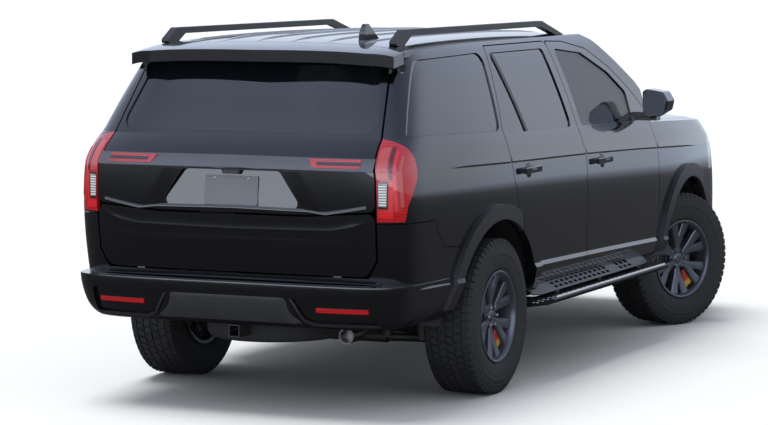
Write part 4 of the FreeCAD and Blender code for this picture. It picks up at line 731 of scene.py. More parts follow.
# Geometry Nodes tree that repeats a piece along a step and round a turn
def makeRepeatTree():
    tree = bpy.data.node_groups.new("repeatPiece", "GeometryNodeTree")
    for name, kind in (("Piece", "Geometry"), ("Count", "Int"), ("Step", "Vector"), ("Turn", "Vector"),
                       ("Finish", "Material")):
        tree.interface.new_socket(name, in_out="INPUT", socket_type="NodeSocket" + kind)
    tree.interface.new_socket("Geometry", in_out="OUTPUT", socket_type="NodeSocketGeometry")
    made = {kind: tree.nodes.new(kind) for kind in (
        "NodeGroupInput", "NodeGroupOutput", "GeometryNodeMeshLine", "GeometryNodeInputIndex",
        "ShaderNodeVectorMath", "GeometryNodeInstanceOnPoints", "GeometryNodeRealizeInstances",
        "GeometryNodeSetMaterial")}
    made["GeometryNodeMeshLine"].mode = "OFFSET"
    made["ShaderNodeVectorMath"].operation = "SCALE"
    for source, output, target, place in (
            ("NodeGroupInput", "Count", "GeometryNodeMeshLine", "Count"),
            ("NodeGroupInput", "Step", "GeometryNodeMeshLine", "Offset"),
            ("NodeGroupInput", "Turn", "ShaderNodeVectorMath", 0),
            ("GeometryNodeInputIndex", 0, "ShaderNodeVectorMath", "Scale"),
            ("GeometryNodeMeshLine", 0, "GeometryNodeInstanceOnPoints", "Points"),
            ("NodeGroupInput", "Piece", "GeometryNodeInstanceOnPoints", "Instance"),
            ("ShaderNodeVectorMath", 0, "GeometryNodeInstanceOnPoints", "Rotation"),
            ("GeometryNodeInstanceOnPoints", 0, "GeometryNodeRealizeInstances", 0),
            ("GeometryNodeRealizeInstances", 0, "GeometryNodeSetMaterial", 0),
            ("NodeGroupInput", "Finish", "GeometryNodeSetMaterial", "Material"),
            ("GeometryNodeSetMaterial", 0, "NodeGroupOutput", 0)):
        tree.links.new(made[source].outputs[output], made[target].inputs[place])
    return tree


repeatTree = makeRepeatTree()


def repeated(data, count, finish, step=(0, 0, 0), turn=(0, 0, 0)):
    seed = placed("repeatSeed", data)
    modifier = seed.modifiers.new("repeat", "NODES")
    modifier.node_group = repeatTree
    values = {"Count": count, "Step": step, "Turn": turn, "Finish": finishes[finish]}
    for item in repeatTree.interface.items_tree:
        if item.in_out == "INPUT" and item.name in values:
            modifier[item.identifier] = values[item.name]
    bpy.context.view_layer.update()
    result = bpy.data.meshes.new_from_object(seed.evaluated_get(bpy.context.evaluated_depsgraph_get()))
    bpy.data.objects.remove(seed)
    return result


# Wheels: twin-spoke rims, treaded tyres and brake discs, about the Y axis with the outside towards +Y
wheelLook = {"y": 872, "radius": 411, "kingpin": 790, "steer": -23}
rimLook = {
    "spokes": 6, "spread": 12.5, "hubRadius": 52, "tipRadius": 221, "hubY": 84, "tipY": 105, "rings": 7,
    "bevel": 6, "rootWide": 38, "tipWide": 60, "deep": 36, "steps": 96, "nutRing": 54,
    "barrel": [(113, 231), (119, 241), (123, 243), (127.5, 242), (129, 238), (127, 230), (118, 223),
               (104, 219.5), (-108, 215), (-124, 221), (-129, 234), (-128, 242), (-122, 243), (-117, 239),
               (-113, 231)],
    "hub": [(30, 1), (90, 1), (91, 20), (89, 28), (86, 31), (83, 34), (85, 44), (84, 58), (78, 66), (46, 70),
            (30, 60)],
    "nut": [(78, 1), (101, 1), (101, 6), (97, 9.5), (90, 10.5), (78, 10.5)],
}
discLook = {"faces": ((2, 12), (18, 26)), "inner": 76, "outer": 172,
            "bell": [(-2, 60), (-2, 79), (50, 79), (50, 60)]}


def spokeMesh(way):
    look = rimLook
    rings = []
    for i in range(look["rings"]):
        share = i / (look["rings"] - 1)
        r = look["hubRadius"] + (look["tipRadius"] - look["hubRadius"]) * share
        lean = math.radians(way * look["spread"] * (min(1, 0.3 + share) - 0.3 * (1 - share)))
        y = look["hubY"] + (look["tipY"] - look["hubY"]) * share ** 1.5
        half = (look["rootWide"] + (look["tipWide"] - look["rootWide"]) * share) / 2
        bevel, deep = look["bevel"], look["deep"] * (1.25 - 0.45 * share)
        side = [(half - bevel, y), (half, y - bevel), (half + 2, y - deep)]
        ring = [(-a, b) for a, b in reversed(side)] + [(0, y + 1.5)] + side
        sine, cosine = math.sin(lean), math.cos(lean)
        rings.append([metres(sine * r + cosine * a, b, cosine * r - sine * a) for a, b in ring])
    return loftedMesh("spoke", rings)


def rimMesh():
    barrel = turnedMesh("barrel", rimLook["barrel"], rimLook["steps"])
    hub = turnedMesh("hub", rimLook["hub"], 48)
    step = 2 * math.pi / rimLook["spokes"]
    pair = joinedMesh("spokes", [spokeMesh(-1), spokeMesh(1)])
    spokes = repeated(pair, rimLook["spokes"], "wheelGrey", turn=(0, step, 0))
    centre = rimLook["nutRing"] * math.sin(step / 2), rimLook["nutRing"] * math.cos(step / 2)
    nut = turnedMesh("nut", rimLook["nut"], 6, centre)
    nuts = repeated(nut, rimLook["spokes"], "brightMetal", turn=(0, step, 0))
    return joinedMesh("rim", [barrel, hub, spokes]), nuts


def discMesh():
    inner, outer = discLook["inner"], discLook["outer"]
    faces = [turnedMesh("disc", [(low, inner), (low, outer), (high, outer), (high, inner)], 72)
             for low, high in discLook["faces"]]
    return joinedMesh("disc", faces + [turnedMesh("disc", discLook["bell"], 48)])


# Tread blocks in rows of low y, high y, skew, fall of the outer end, and a lug under each outer block
tyreLook = {
    "pitches": 60, "steps": 120, "base": 403.5, "top": 410.3, "block": 0.84, "buried": 4, "inset": 1.2,
    "rows": ((90, 121, 0, 8), (47, 84, 6, 1.2), (4, 41, -7, 0.3)), "lug": (117, 131, 0, 19), "lugWide": 0.94,
    "shift": 0.35,
    "half": [(112.6, 229.4), (112.8, 240), (121, 246), (131, 262), (136, 285), (138.6, 306), (139.4, 318),
             (137.6, 321), (139.4, 324), (139.2, 340), (137.5, 352), (135.5, 355), (136.2, 358), (134, 370),
             (130, 382), (124, 392), (116, 399), (104, 402.5), (70, 403.5), (25, 403.5)],
}


def blockMesh(low, high, skew, slope, wide):
    half = wide / 2
    corners = []
    for r, inset in ((tyreLook["base"] - tyreLook["buried"], 0), (tyreLook["top"], tyreLook["inset"])):
        for y, lean, drop in ((low + inset, -skew, 0), (high - inset, skew, slope)):
            corners.append([metres(x + lean, y, r - drop) for x in (inset - half, half - inset)])
    (a, b), (d, c), (e, f), (h, g) = corners
    return meshOf("block", [a, b, c, d, e, f, g, h],
                  [(0, 1, 2, 3), (4, 5, 6, 7), (0, 1, 5, 4), (1, 2, 6, 5), (2, 3, 7, 6), (3, 0, 4, 7)])


def tyreMesh():
    half = tyreLook["half"]
    parts = [turnedMesh("carcass", half + [(-y, r) for y, r in reversed(half)], tyreLook["steps"])]
    pitch = 2 * math.pi / tyreLook["pitches"]
    wide = pitch * tyreLook["top"] * tyreLook["block"]
    for number, row in enumerate(tyreLook["rows"]):
        block = blockMesh(*row, wide)
        if number == 0:
            block = joinedMesh("block", [block, blockMesh(*tyreLook["lug"], wide * tyreLook["lugWide"])])
        for shape, shift in ((block.copy(), 0), (mirroredMesh(block), tyreLook["shift"])):
            shape.transform(Matrix.Rotation(pitch * (0.5 * number + shift), 4, "Y"))
            parts.append(repeated(shape, tyreLook["pitches"], "tyreRubber", turn=(0, pitch, 0)))
    return joinedMesh("tyre", parts)


# A painted window between two spokes, red towards the hub and yellow at its outer end
accentLook = {"middle": 150, "half": 9.5, "radii": (92, 165, 205), "y": 78, "thick": 4}


def accentMesh(inner, outer):
    low, high = accentLook["y"], accentLook["y"] + accentLook["thick"]
    rings = []
    for r in (accentLook["radii"][inner], accentLook["radii"][outer]):
        spread = accentLook["half"] * (0.45 + 0.55 * r / accentLook["radii"][2])
        ring = []
        for way, y in ((-1, low), (1, low), (1, high), (-1, high)):
            angle = math.radians(accentLook["middle"] + way * spread)
            ring.append(metres(r * math.sin(angle), y, r * math.cos(angle)))
        rings.append(ring)
    return loftedMesh("accent", rings)


def wheelMatrix(end, side):
    x, y = bodyLines[end + "Axle"] * mm, side * wheelLook["y"] * mm
    place = Matrix.Translation((x, y, wheelLook["radius"] * mm))
    if end == "front":
        pin = Vector((x, side * wheelLook["kingpin"] * mm, 0))
        turn = Matrix.Rotation(math.radians(wheelLook["steer"]), 4, "Z")
        place = Matrix.Translation(pin) @ turn @ Matrix.Translation(-pin) @ place
    return place


def makeWheels():
    rim, nuts = rimMesh()
    shapes = {"rim": (rim, "wheelGrey", "wheel_grey"), "nuts": (nuts, "brightMetal", "cast_alloy"),
              "disc": (discMesh(), "castAlloy", "cast_alloy"),
              "tyre": (tyreMesh(), "tyreRubber", "tyre_rubber"),
              "accentRed": (accentMesh(0, 1), "accentRed", "red_lamp"),
              "accentYellow": (accentMesh(1, 2), "accentYellow", "red_lamp")}
    for end in ("front", "rear"):
        for side, word in ((-1, "right"), (1, "left")):
            body = "wheel_%s_%s" % (end, word)
            for kind, (shape, finish, slot) in shapes.items():
                data = shape.copy() if side > 0 else mirroredMesh(shape)
                data.transform(wheelMatrix(end, side))
                node = "%s_%s_%s" % (kind, end, word)
                addPiece(kind + end.title() + word.title(), data, finish, body, slot,
                         (node,) if node in nodes else ())


makeWheels()
print("wheels made")


# Draped pads: rows of pairs in millimetres, laid on the right side, rear or top of the body and raised.
# Each cast gives the start of a ray for a pair, and its way.
casts = {"side": lambda a, b: ((a, -3, b), (0, 1, 0)), "rear": lambda a, b: ((-4, a, b), (1, 0, 0)),
         "top": lambda a, b: ((a, b, 3), (0, 0, -1))}


def draped(side, grid, sheets):
    points, owners = [], []
    for a, b in grid:
        start, way = casts[side](a * mm, b * mm)
        best = None
        for i, sheet in enumerate(sheets):
            hit = sheet.tree.ray_cast(start, way, 8)
            if hit[0] is not None and (best is None or hit[3] < best[0]):
                best = hit[3], hit[0], i
        if best is None:
            raise ValueError("no skin under %s %.0f %.0f" % (side, a, b))
        points.append(best[1])
        owners.append(best[2])
    points, owners = np.array(points), np.array(owners)
    normals = np.zeros_like(points)
    way = np.array(casts[side](0, 0)[1])
    for i in set(owners.tolist()):
        mine = owners == i
        points[mine], slopes = sheets[i].nearest(points[mine])
        slopes[slopes @ way > 0] *= -1
        normals[mine] = slopes
    return points, normals


# The place at a share of a line's length
def along(line, share):
    total = [0]
    for (a, b), (c, d) in zip(line, line[1:]):
        total.append(total[-1] + math.hypot(c - a, d - b))
    goal = share * total[-1]
    for i, ((a, b), (c, d)) in enumerate(zip(line, line[1:])):
        if goal <= total[i + 1] or i == len(line) - 2:
            part = (goal - total[i]) / max(total[i + 1] - total[i], 1e-9)
            return a + (c - a) * part, b + (d - b) * part


# How much of its rise a pad has at a share of its length: a fade to both ends, or a ramp from one
def risen(share, fade, ramps):
    if fade:
        near = min(1, share / fade, (1 - share) / fade)
        return near * near * (3 - 2 * near)
    start, end = ramps
    return min(1, share * start if start else 1, (1 - share) * end if end else 1)


def padMesh(side, lines, outs, skin, columns=24, fade=0.0, ramps=(0, 0), sink=3.0, level=0.35):
    wide = columns + 1
    grid = [along(line, c / columns) for line in lines for c in range(wide)]
    points, normals = draped(side, grid, [s for name in skin for s in skins[name]])
    verts = []
    for i, (p, n) in enumerate(zip(points, normals)):
        out = level + (outs[i // wide] - level) * risen((i % wide) / columns, fade, ramps)
        verts.append(p + n * out * mm)
    verts += [p - n * sink * mm for p, n in zip(points, normals)]
    back, rows = len(points), len(lines)
    faces = []
    for r in range(rows - 1):
        for c in range(columns):
            a, b, d, e = r * wide + c, r * wide + c + 1, (r + 1) * wide + c + 1, (r + 1) * wide + c
            faces += [(a, b, d, e), (back + e, back + d, back + b, back + a)]
    rim = list(range(wide)) + [r * wide + columns for r in range(1, rows)]
    rim += [(rows - 1) * wide + c for c in range(columns - 1, -1, -1)]
    rim += [r * wide for r in range(rows - 2, 0, -1)]
    for a, b in zip(rim, rim[1:] + rim[:1]):
        faces.append((a, b, back + b, back + a))
    return meshOf("pad", verts, faces)


def addPad(name, side, lines, outs, finish, body, slot, skin=("body",), twin=True, **how):
    data = padMesh(side, lines, outs, skin, **how)
    make = addTwins if twin else addPiece
    make(name, data, finish, body, slot)


# Rows and outs of a pad along one line, from (rise, out) pairs
def ridge(line, profile):
    return [[(a, b + rise) for a, b in line] for rise, out in profile], [out for rise, out in profile]


# Creases pressed into the sides: a span of x for each panel, its skin, and the ramp at each end
creaseLook = {
    "line": [(-2065, 1236), (-1309, 1214), (-150, 1185), (720, 1155), (1895, 1103)], "poles": 8,
    "profile": [(40, 0.35), (20, 1.2), (4, 3.4), (-2, 3.6), (-9, 0.3)],
    "spans": {"body_side_right": (-2065, -1326, "body", (2.5, 0)),
              "rear_door_right": (-1298, -216, "body", (0, 0)),
              "front_door_right": (-190, 998, "body", (0, 0)),
              "front_fenders": (1026, 1880, "nose", (0, 2))},
}


def heightOn(line, a):
    for (x, z), (nextX, nextZ) in zip(line, line[1:]):
        if a <= nextX:
            return z + (nextZ - z) * (a - x) / (nextX - x)
    return line[-1][1]


def spanLine(line, low, high, count):
    places = [low + (high - low) * i / (count - 1) for i in range(count)]
    return [(a, heightOn(line, a)) for a in places]


for node, (low, high, skin, ramps) in creaseLook["spans"].items():
    lines, outs = ridge(spanLine(creaseLook["line"], low, high, creaseLook["poles"]), creaseLook["profile"])
    data = padMesh("side", lines, outs, (skin,), columns=36, ramps=ramps)
    addPiece("crease_" + node, data, "blackPaint", nodeBody[node], "black_paint")
    addPiece("creaseLeft_" + node, mirroredMesh(data), "blackPaint", nodeBody[node].replace("right", "left"),
             "black_paint")


# A line across both sides from its half, which ends in the middle
def mirrored(half):
    return half + [(-y, z) for y, z in reversed(half[:-1])]


# Rear: bar above the plate and slot lamps on the liftgate, as rows of (height, out) or as outlines
gateLook = {
    "bar": mirrored([(776, 0), (400, 2), (0, 4)]),
    "barRows": [(1301, 4.5), (1298, 5.2), (1248, 9.4), (1243, 9.2), (1240, 3.0)],
    "slots": {
        "slotLamp": ([[(-708, 1294), (-432, 1294)], [(-708, 1254), (-457, 1254)]], 10.4, "redLamp",
                     "red_lamp"),
        "slotCore": ([[(-706, 1281), (-474, 1281)], [(-706, 1267), (-482, 1267)]], 10.9, "greyLens",
                     "black_trim")},
}
lines = [[(y, z + rise) for y, rise in gateLook["bar"]] for z, out in gateLook["barRows"]]
outs = [out for z, out in gateLook["barRows"]]
addPad("gateBar", "rear", lines, outs, "barSatin", "liftgate", "black_paint", twin=False, columns=48)
for name, (lines, out, finish, slot) in gateLook["slots"].items():
    addPad(name, "rear", lines, (out, out), finish, "liftgate", slot, columns=12)

# Ridges of the two gates: body, fade, half of the line, and profile
gateRidges = {
    "gateLedge": ("liftgate", 0, [(742, 1062), (640, 1044), (528, 1026), (430, 1038), (0, 1044)],
                  [(12, 0.35), (5, 2.2), (0, 3.6), (-3, 3.6), (-7, 1)]),
    "gateCrease": ("tailgate", 0.04, [(756, 992), (650, 962), (553, 944), (0, 937)],
                   [(30, 0.35), (8, 0.9), (2, 2.0), (-3, 2.1), (-9, 0.35)]),
    "gateGroove": ("tailgate", 0.12, [(650, 880), (0, 879)], [(16, 0.35), (0, 1.5), (-4, 1.5), (-26, 0.35)]),
}
for name, (body, fade, half, profile) in gateRidges.items():
    lines, outs = ridge(mirrored(half), profile)
    addPad(name, "rear", lines, outs, "blackPaint", body, "black_paint", twin=False, columns=48, fade=fade)

# The plate's recess, bent once: half widths, heights and depths of its top, bend and foot
recessLook = {"top": (281, 1233), "foot": (409, 1048), "bend": 1092, "topX": -2585.5, "bendX": -2601.5,
              "fall": 0.4, "thick": 1}
(topY, topZ), (footY, footZ) = recessLook["top"], recessLook["foot"]
topX, bendX, bendZ = recessLook["topX"], recessLook["bendX"], recessLook["bend"]
bendY = topY + (footY - topY) * (topZ - bendZ) / (topZ - footZ)
recessHalf = [(topX, topY, topZ), (bendX, bendY, bendZ), (bendX - recessLook["fall"], footY, footZ)]
recessOutline = recessHalf + [(x, -y, z) for x, y, z in reversed(recessHalf)]
recessRings = [[metres(x + deep, y, z) for x, y, z in recessOutline] for deep in (0, recessLook["thick"])]
addPiece("recessPanel", loftedMesh("recess", recessRings), "blackPaint", "liftgate", "black_paint", sharp=3)
print("gates dressed")

# Plate with its screws, camera pod and the dark faces beside the recess: flat gloss trim pads whose dark is
# painted reflection, standing for the darker look of the real angled faces.
# The plate's rim is (drop, inset) pairs, the pod's rings (half width, out) pairs.
plateLook = {"half": 151, "top": 1203, "low": 1053, "proud": 7, "round": 9,
             "rim": [(-4, 0), (-1, 0), (0, 1.5), (0, 5), (-1, 7)],
             "screw": [(-2, 0.5), (2.5, 0.5), (2.5, 4), (1, 6), (-2, 6)], "screwY": 95, "screwZ": 1190}
podLook = {"rings": ((60, -4), (60, 18), (54, 24)), "top": 1241, "low": 1213, "slant": 16}
buttressLook = {"lines": [[(-290, 1232), (-415, 1047)], [(-384, 1232), (-509, 1036)]], "outs": (1.5, 1.5)}


def recessX(z, proud):
    share = min(1, (topZ - z) / (topZ - bendZ))
    return topX + (bendX - topX) * share - proud


def roundedOutline(a0, a1, b0, b1, radius, steps=5):
    outline = []
    for ca, cb, start in ((a1 - radius, b1 - radius, 0), (a0 + radius, b1 - radius, 90),
                          (a0 + radius, b0 + radius, 180), (a1 - radius, b0 + radius, 270)):
        for i in range(steps + 1):
            t = math.radians(start + 90 * i / steps)
            outline.append((ca + radius * math.cos(t), cb + radius * math.sin(t)))
    return outline


def plateMesh():
    p = plateLook
    rings = []
    for drop, inset in p["rim"]:
        outline = roundedOutline(inset - p["half"], p["half"] - inset, p["low"] + inset, p["top"] - inset,
                                 p["round"])
        rings.append([metres(recessX(z, p["proud"] + drop), y, z) for y, z in outline])
    return loftedMesh("plate", rings)


def screwMesh(side):
    z = plateLook["screwZ"]
    screw = turnedMesh("screw", plateLook["screw"], 20)
    spot = metres(recessX(z, plateLook["proud"]), side * plateLook["screwY"], z)
    screw.transform(Matrix.Translation(spot) @ Matrix.Rotation(math.radians(90), 4, "Z"))
    return screw


def podMesh():
    rings = []
    for half, out in podLook["rings"]:
        foot, top, low = half - podLook["slant"], podLook["top"], podLook["low"]
        outline = (half, top), (foot, low), (-foot, low), (-half, top)
        rings.append([metres(recessX(z, 0) - out, y, z) for y, z in outline])
    return loftedMesh("pod", rings)


addPiece("plate", plateMesh(), "plateGrey", "liftgate", "black_trim")
screws = joinedMesh("screws", [screwMesh(-1), screwMesh(1)])
addPiece("plateScrews", screws, "brightMetal", "liftgate", "cast_alloy")
addPiece("cameraPod", podMesh(), "grainTrim", "liftgate", "black_trim")
# Buttress pads: gloss trim, less reflective than the paint, a painted dark reflection of the angled faces
# beside the recess
addPad("buttressRear", "rear", buttressLook["lines"], buttressLook["outs"], "glossTrim", "liftgate",
       "black_trim", columns=8)

# Tail lamps: clear reverse lens with its guide, upright bars and dark parting, each between two lines
lampLook = {
    "clear": ([(-802, 1182), (-804, 1072)], [(-842, 1184), (-840, 1070)], 3.2, "clearStriped", "clear_lamp"),
    "clearRim": ([(-799, 1192), (-800, 1060)], [(-848, 1194), (-846, 1058)], 1.8, "blackLens", "red_lamp"),
    "guide": ([(-852, 1196), (-850, 1062)], [(-870, 1198), (-868, 1040)], 3.0, "brightLens", "red_lamp"),
    "foot": ([(-800, 1052), (-800, 1018)], [(-870, 1054), (-870, 1010)], 3.0, "brightLens", "red_lamp"),
    "grid": ([(-782, 1350), (-797, 1206)], [(-826, 1360), (-846, 1206)], 2.6, "gridLens", "red_lamp"),
    "parting": ([(-832, 1362), (-852, 1206)], [(-848, 1362), (-868, 1206)], 2.2, "deepLens", "red_lamp"),
    "barInner": ([(-856, 1340), (-878, 1044)], [(-870, 1338), (-892, 1046)], 2.8, "brightLens", "red_lamp"),
    "barOuter": ([(-884, 1320), (-902, 1064)], [(-896, 1312), (-914, 1072)], 2.8, "gridLens", "red_lamp"),
}
for name, (inner, outer, out, finish, slot) in lampLook.items():
    addPad("lamp" + name.title(), "rear", [inner, outer], (out, out), finish, "body", slot,
           skin=("tail_lamps",), columns=14)

# Rear bumper: textured step, centre cover, pocket lips and sensors
bumperLook = {
    "step": [(0, -2652, -2606), (300, -2650, -2604), (560, -2628, -2590), (700, -2606, -2574),
             (772, -2588, -2562)],  # y, outer and inner x
    "stepEdge": 4, "stepRises": (0.6, 2.6, -3),
    "cover": ([(-318, 606), (-205, 606), (0, 606), (205, 606), (318, 606)],
              [(-330, 590), (0, 590), (330, 590)], [(-405, 486), (0, 486), (405, 486)],
              [(-412, 474), (412, 474)]),
    "coverOuts": (0.5, 3.6, 15, 1),
    "lip": ([(-352, 601), (-414, 494), (-468, 470), (-806, 470)],
            [(-362, 601), (-424, 502), (-474, 480), (-806, 480)]),
    "lipOuts": (3.0, 1.0),
    "sensors": ((301, 644), (816, 648)), "sensor": [(-3, 1), (0.2, 1), (0.3, 9), (0.1, 12), (-3, 12)],
}


def stepMesh():
    skin, half, edge = skins["rear_bumper"][0], bumperLook["step"], bumperLook["stepEdge"]
    low, high, sunk = bumperLook["stepRises"]
    rings = []
    for y, outer, inner in [(-y, a, b) for y, a, b in reversed(half[1:])] + half:
        profile = [(outer, low), (outer + edge, high), (inner - edge, high), (inner, low), (inner, sunk),
                   (outer, sunk)]
        rings.append([(x * mm, y * mm, skin.top(x * mm, y * mm) + rise * mm) for x, rise in profile])
    return loftedMesh("step", rings)


def discAt(a, b, side, skin, outline, steps=24):
    spots, normals = draped(side, [(a, b)], skins[skin])
    turn = Vector((0, 1, 0)).rotation_difference(Vector(normals[0])).to_matrix().to_4x4()
    data = turnedMesh("disc", outline, steps)
    data.transform(Matrix.Translation(Vector(spots[0])) @ turn)
    return data


addPiece("bumperStep", stepMesh(), "grainTrim", "body", "black_trim")
addPad("bumperCover", "rear", bumperLook["cover"], bumperLook["coverOuts"], "satinTrim", "body", "black_trim",
       skin=("step",), twin=False, columns=40, fade=0.05, sink=4)
addPad("pocketLip", "rear", bumperLook["lip"], bumperLook["lipOuts"], "satinTrim", "body", "black_trim",
       skin=("step",), columns=30)
sensors = [discAt(side * a, b, "rear", "step", bumperLook["sensor"])
           for a, b in bumperLook["sensors"] for side in (1, -1)]
addPiece("parkSensors", joinedMesh("sensors", sensors), "glossTrim", "body", "black_trim")
print("rear dressed")

# Divider between the panes of the rear doors
dividerLook = {"lines": [[(-1150, 1778), (-1008, 1352)], [(-1116, 1778), (-974, 1352)]], "outs": (-1.5, -1.5)}
addPad("paneDivider", "side", dividerLook["lines"], dividerLook["outs"], "satinTrim", "rear_door_right",
       "black_trim", columns=10, sink=8)

# Running boards: a sloped plate with its holes drawn as black boxes of painted shade, studs on the board and
# a bright lip.
# A plate's row is x, inner and outer y, and their heights. Holes and studs are first x, count and step.
boardLook = {
    "plate": [(-1040, 968, 1010, 506, 476), (-960, 966, 1030, 512, 470), (700, 966, 1030, 512, 470),
              (790, 968, 1010, 506, 476)], "thick": 5, "tuck": 4,
    "hole": (-22, 22, -10, 10, -1, 1.2, 1.5), "holes": ((-700, 12, 74), (330, 3, 74)),
    "holeRows": (983, 1009),
    "stud": [(-1, 0.5), (2.6, 0.5), (2.6, 7), (0, 11), (-1, 11)], "studs": (-1150, 26, 74),
    "studRows": (1052, 1074),
    "lip": 5.5, "lipStart": -1330, "lipLength": 2540, "lipPoints": 24,
    "lipFrom": (-1300, 430), "lipLeast": -1030, "lipBack": 4.5, "lipLook": 6, "lipRise": 4,
}


def boardMesh():
    thick, tuck = boardLook["thick"], boardLook["tuck"]
    rings = []
    for x, inner, outer, high, low in boardLook["plate"]:
        profile = (-inner, high), (-outer, low), (tuck - outer, low - thick), (tuck - inner, high - thick)
        rings.append([metres(x, y, z) for y, z in profile])
    return loftedMesh("boardPlate", rings)


def boxRings(x0, x1, y0, y1, z0, z1, inset):
    rings = []
    for z, i in ((z0, 0), (z1, inset)):
        corners = (x0 + i, y0 + i), (x1 - i, y0 + i), (x1 - i, y1 - i), (x0 + i, y1 - i)
        rings.append([metres(x, y, z) for x, y in corners])
    return rings


# The holes are thin black boxes on the plate: their black is painted shade, standing for the dark seen
# through real holes
def holeMesh():
    inner, outer, high, low = boardLook["plate"][1][1:]
    fall = (high - low) / (outer - inner)
    parts = []
    for start, count, step in boardLook["holes"]:
        for row in boardLook["holeRows"]:
            hole = loftedMesh("hole", boxRings(*boardLook["hole"]))
            spot = metres(start, -row, high - (row - inner) * fall)
            hole.transform(Matrix.Translation(spot) @ Matrix.Rotation(math.atan(fall), 4, "X"))
            parts.append(repeated(hole, count, "cavityBlack", step=(step * mm, 0, 0)))
    return joinedMesh("holes", parts)


def studMesh(board):
    start, count, step = boardLook["studs"]
    parts = []
    for row in boardLook["studRows"]:
        stud = turnedMesh("stud", boardLook["stud"], 12)
        spot = Vector((start * mm, -row * mm, board.top(0, -row * mm)))
        stud.transform(Matrix.Translation(spot) @ Matrix.Rotation(math.radians(90), 4, "X"))
        parts.append(repeated(stud, count, "brightMetal", step=(step * mm, 0, 0)))
    return joinedMesh("studs", parts)


# The lip follows the board's outer edge, found by looking inwards from beside it
def lipMesh(board):
    b = boardLook
    edge = []
    for i in range(b["lipPoints"]):
        x = (b["lipStart"] + b["lipLength"] * i / (b["lipPoints"] - 1)) * mm
        hit = board.tree.ray_cast(Vector((x, *metres(*b["lipFrom"]))), Vector((0, 1, 0)))[0]
        if hit is not None and hit.y <= b["lipLeast"] * mm:
            top = board.top(x, hit.y + b["lipLook"] * mm)
            edge.append((x, hit.y + b["lipBack"] * mm, top + b["lipRise"] * mm))
    return tubeMesh("lip", edge, b["lip"] * mm, 10)


boardTop = MeshSkin("running_boards")
addTwins("boardPlate", boardMesh(), "slateTrim", "body", "black_trim")
addTwins("boardHoles", holeMesh(), "cavityBlack", "body", "black_trim")
addTwins("boardStuds", studMesh(boardTop), "brightMetal", "body", "cast_alloy")
addTwins("boardLip", lipMesh(boardTop), "silverTrim", "body", "cast_alloy")

# Door handles: a bar over a round cup, as rows of (rise, half length, out). The cup is a raised dark gloss
# pad whose dark is painted shade, standing for the real hollow cup
handleLook = {
    "places": (("rear_door_right", -1080, 1153), ("front_door_right", 43, 1128)),
    "parts": {"bar": ("slateTrim", 0.3, [(17, 50, 22), (12, 66, 32), (4, 73, 37), (-4, 73, 37), (-12, 66, 32),
                                         (-17, 50, 22)]),
              "cup": ("glossTrim", 0, [(40, 12, 0.4), (34, 24, 1.4), (12, 36, 1.8), (-12, 36, 1.8),
                                       (-34, 24, 1.4), (-40, 12, 0.4)])},
}
for node, x, z in handleLook["places"]:
    for part, (finish, fade, rows) in handleLook["parts"].items():
        lines = [[(x - half, z + rise), (x + half, z + rise)] for rise, half, out in rows]
        outs = [out for rise, half, out in rows]
        addPad(part + "_" + node, "side", lines, outs, finish, nodeBody[node], "black_trim", columns=16,
               fade=fade)

# Glass of the mirrors
mirrorLook = {"outline": [(1030, 1352), (1018, 1420), (1024, 1480), (1050, 1496), (1120, 1492), (1152, 1470),
                          (1164, 1430), (1156, 1384), (1132, 1356), (1060, 1344)], "faces": (668, 663.4)}
mirrorRings = [[metres(x, -y, z) for y, z in mirrorLook["outline"]] for x in mirrorLook["faces"]]
mirrorPane = loftedMesh("mirrorPane", mirrorRings)
addTwins("mirrorGlass", mirrorPane, "mirrorGlass", nodeBody["mirror_right"], "black_trim")

# Exhaust outlet: a dark tube round the pipe's end
tipLook = {"outline": [(-4, 31), (-4, 38), (-130, 38), (-130, 34), (-30, 33), (-30, 31)],
           "end": (-2490, -584, 407)}
tip = turnedMesh("tip", tipLook["outline"], 40)
tip.transform(Matrix.Translation(metres(*tipLook["end"])) @ Matrix.Rotation(math.radians(90), 4, "Z"))
addPiece("exhaustTip", tip, "darkSteel", "body", "exhaust_steel")

# Roof ribs, as (across, out) pairs
ribLook = {"places": (-500, -300, -100, 100, 300, 500), "ends": (-2120, 330),
           "profile": [(-15, 0.4), (-8, 6), (8, 6), (15, 0.4)]}


def ribMesh(y):
    lines = [[(x, y + across) for x in ribLook["ends"]] for across, out in ribLook["profile"]]
    outs = [out for across, out in ribLook["profile"]]
    return padMesh("top", lines, outs, ("roof",), columns=30, fade=0.05)


ribs = joinedMesh("ribs", [ribMesh(y) for y in ribLook["places"]])
addPiece("roofRibs", ribs, "blackPaint", "body", "black_paint")
print("sides and roof dressed")


# Seats: closed crowned pads, swollen by Cloth, with the seams pressed in afterwards.
# A row is the seats' back, their places, their width and the floor's height.
seatLook = {
    "sizes": {"cushion": (520, 500, 160), "back": (130, 500, 640), "head": (90, 230, 170)},
    "rows": ((-80, (-370, 370), 500, 525), (-920, (-447, 0, 447), 447, 525), (-1600, (-290, 290), 580, 701)),
    "lean": 14, "headSink": 43, "lift": 120, "foot": (130, 390, 190, 12),
    "start": 0.955, "crown": 5, "cuts": 7, "voxel": 0.011, "pressure": 4, "frames": 20, "cap": 0.024,
    "fit": 0.995, "channels": 3, "channelWide": 0.009, "channelDeep": 0.007,
    "seam": 0.055, "seamWide": 0.007, "seamDeep": 0.004,
}


def evaluatedMesh(piece):
    return bpy.data.meshes.new_from_object(piece.evaluated_get(bpy.context.evaluated_depsgraph_get()))


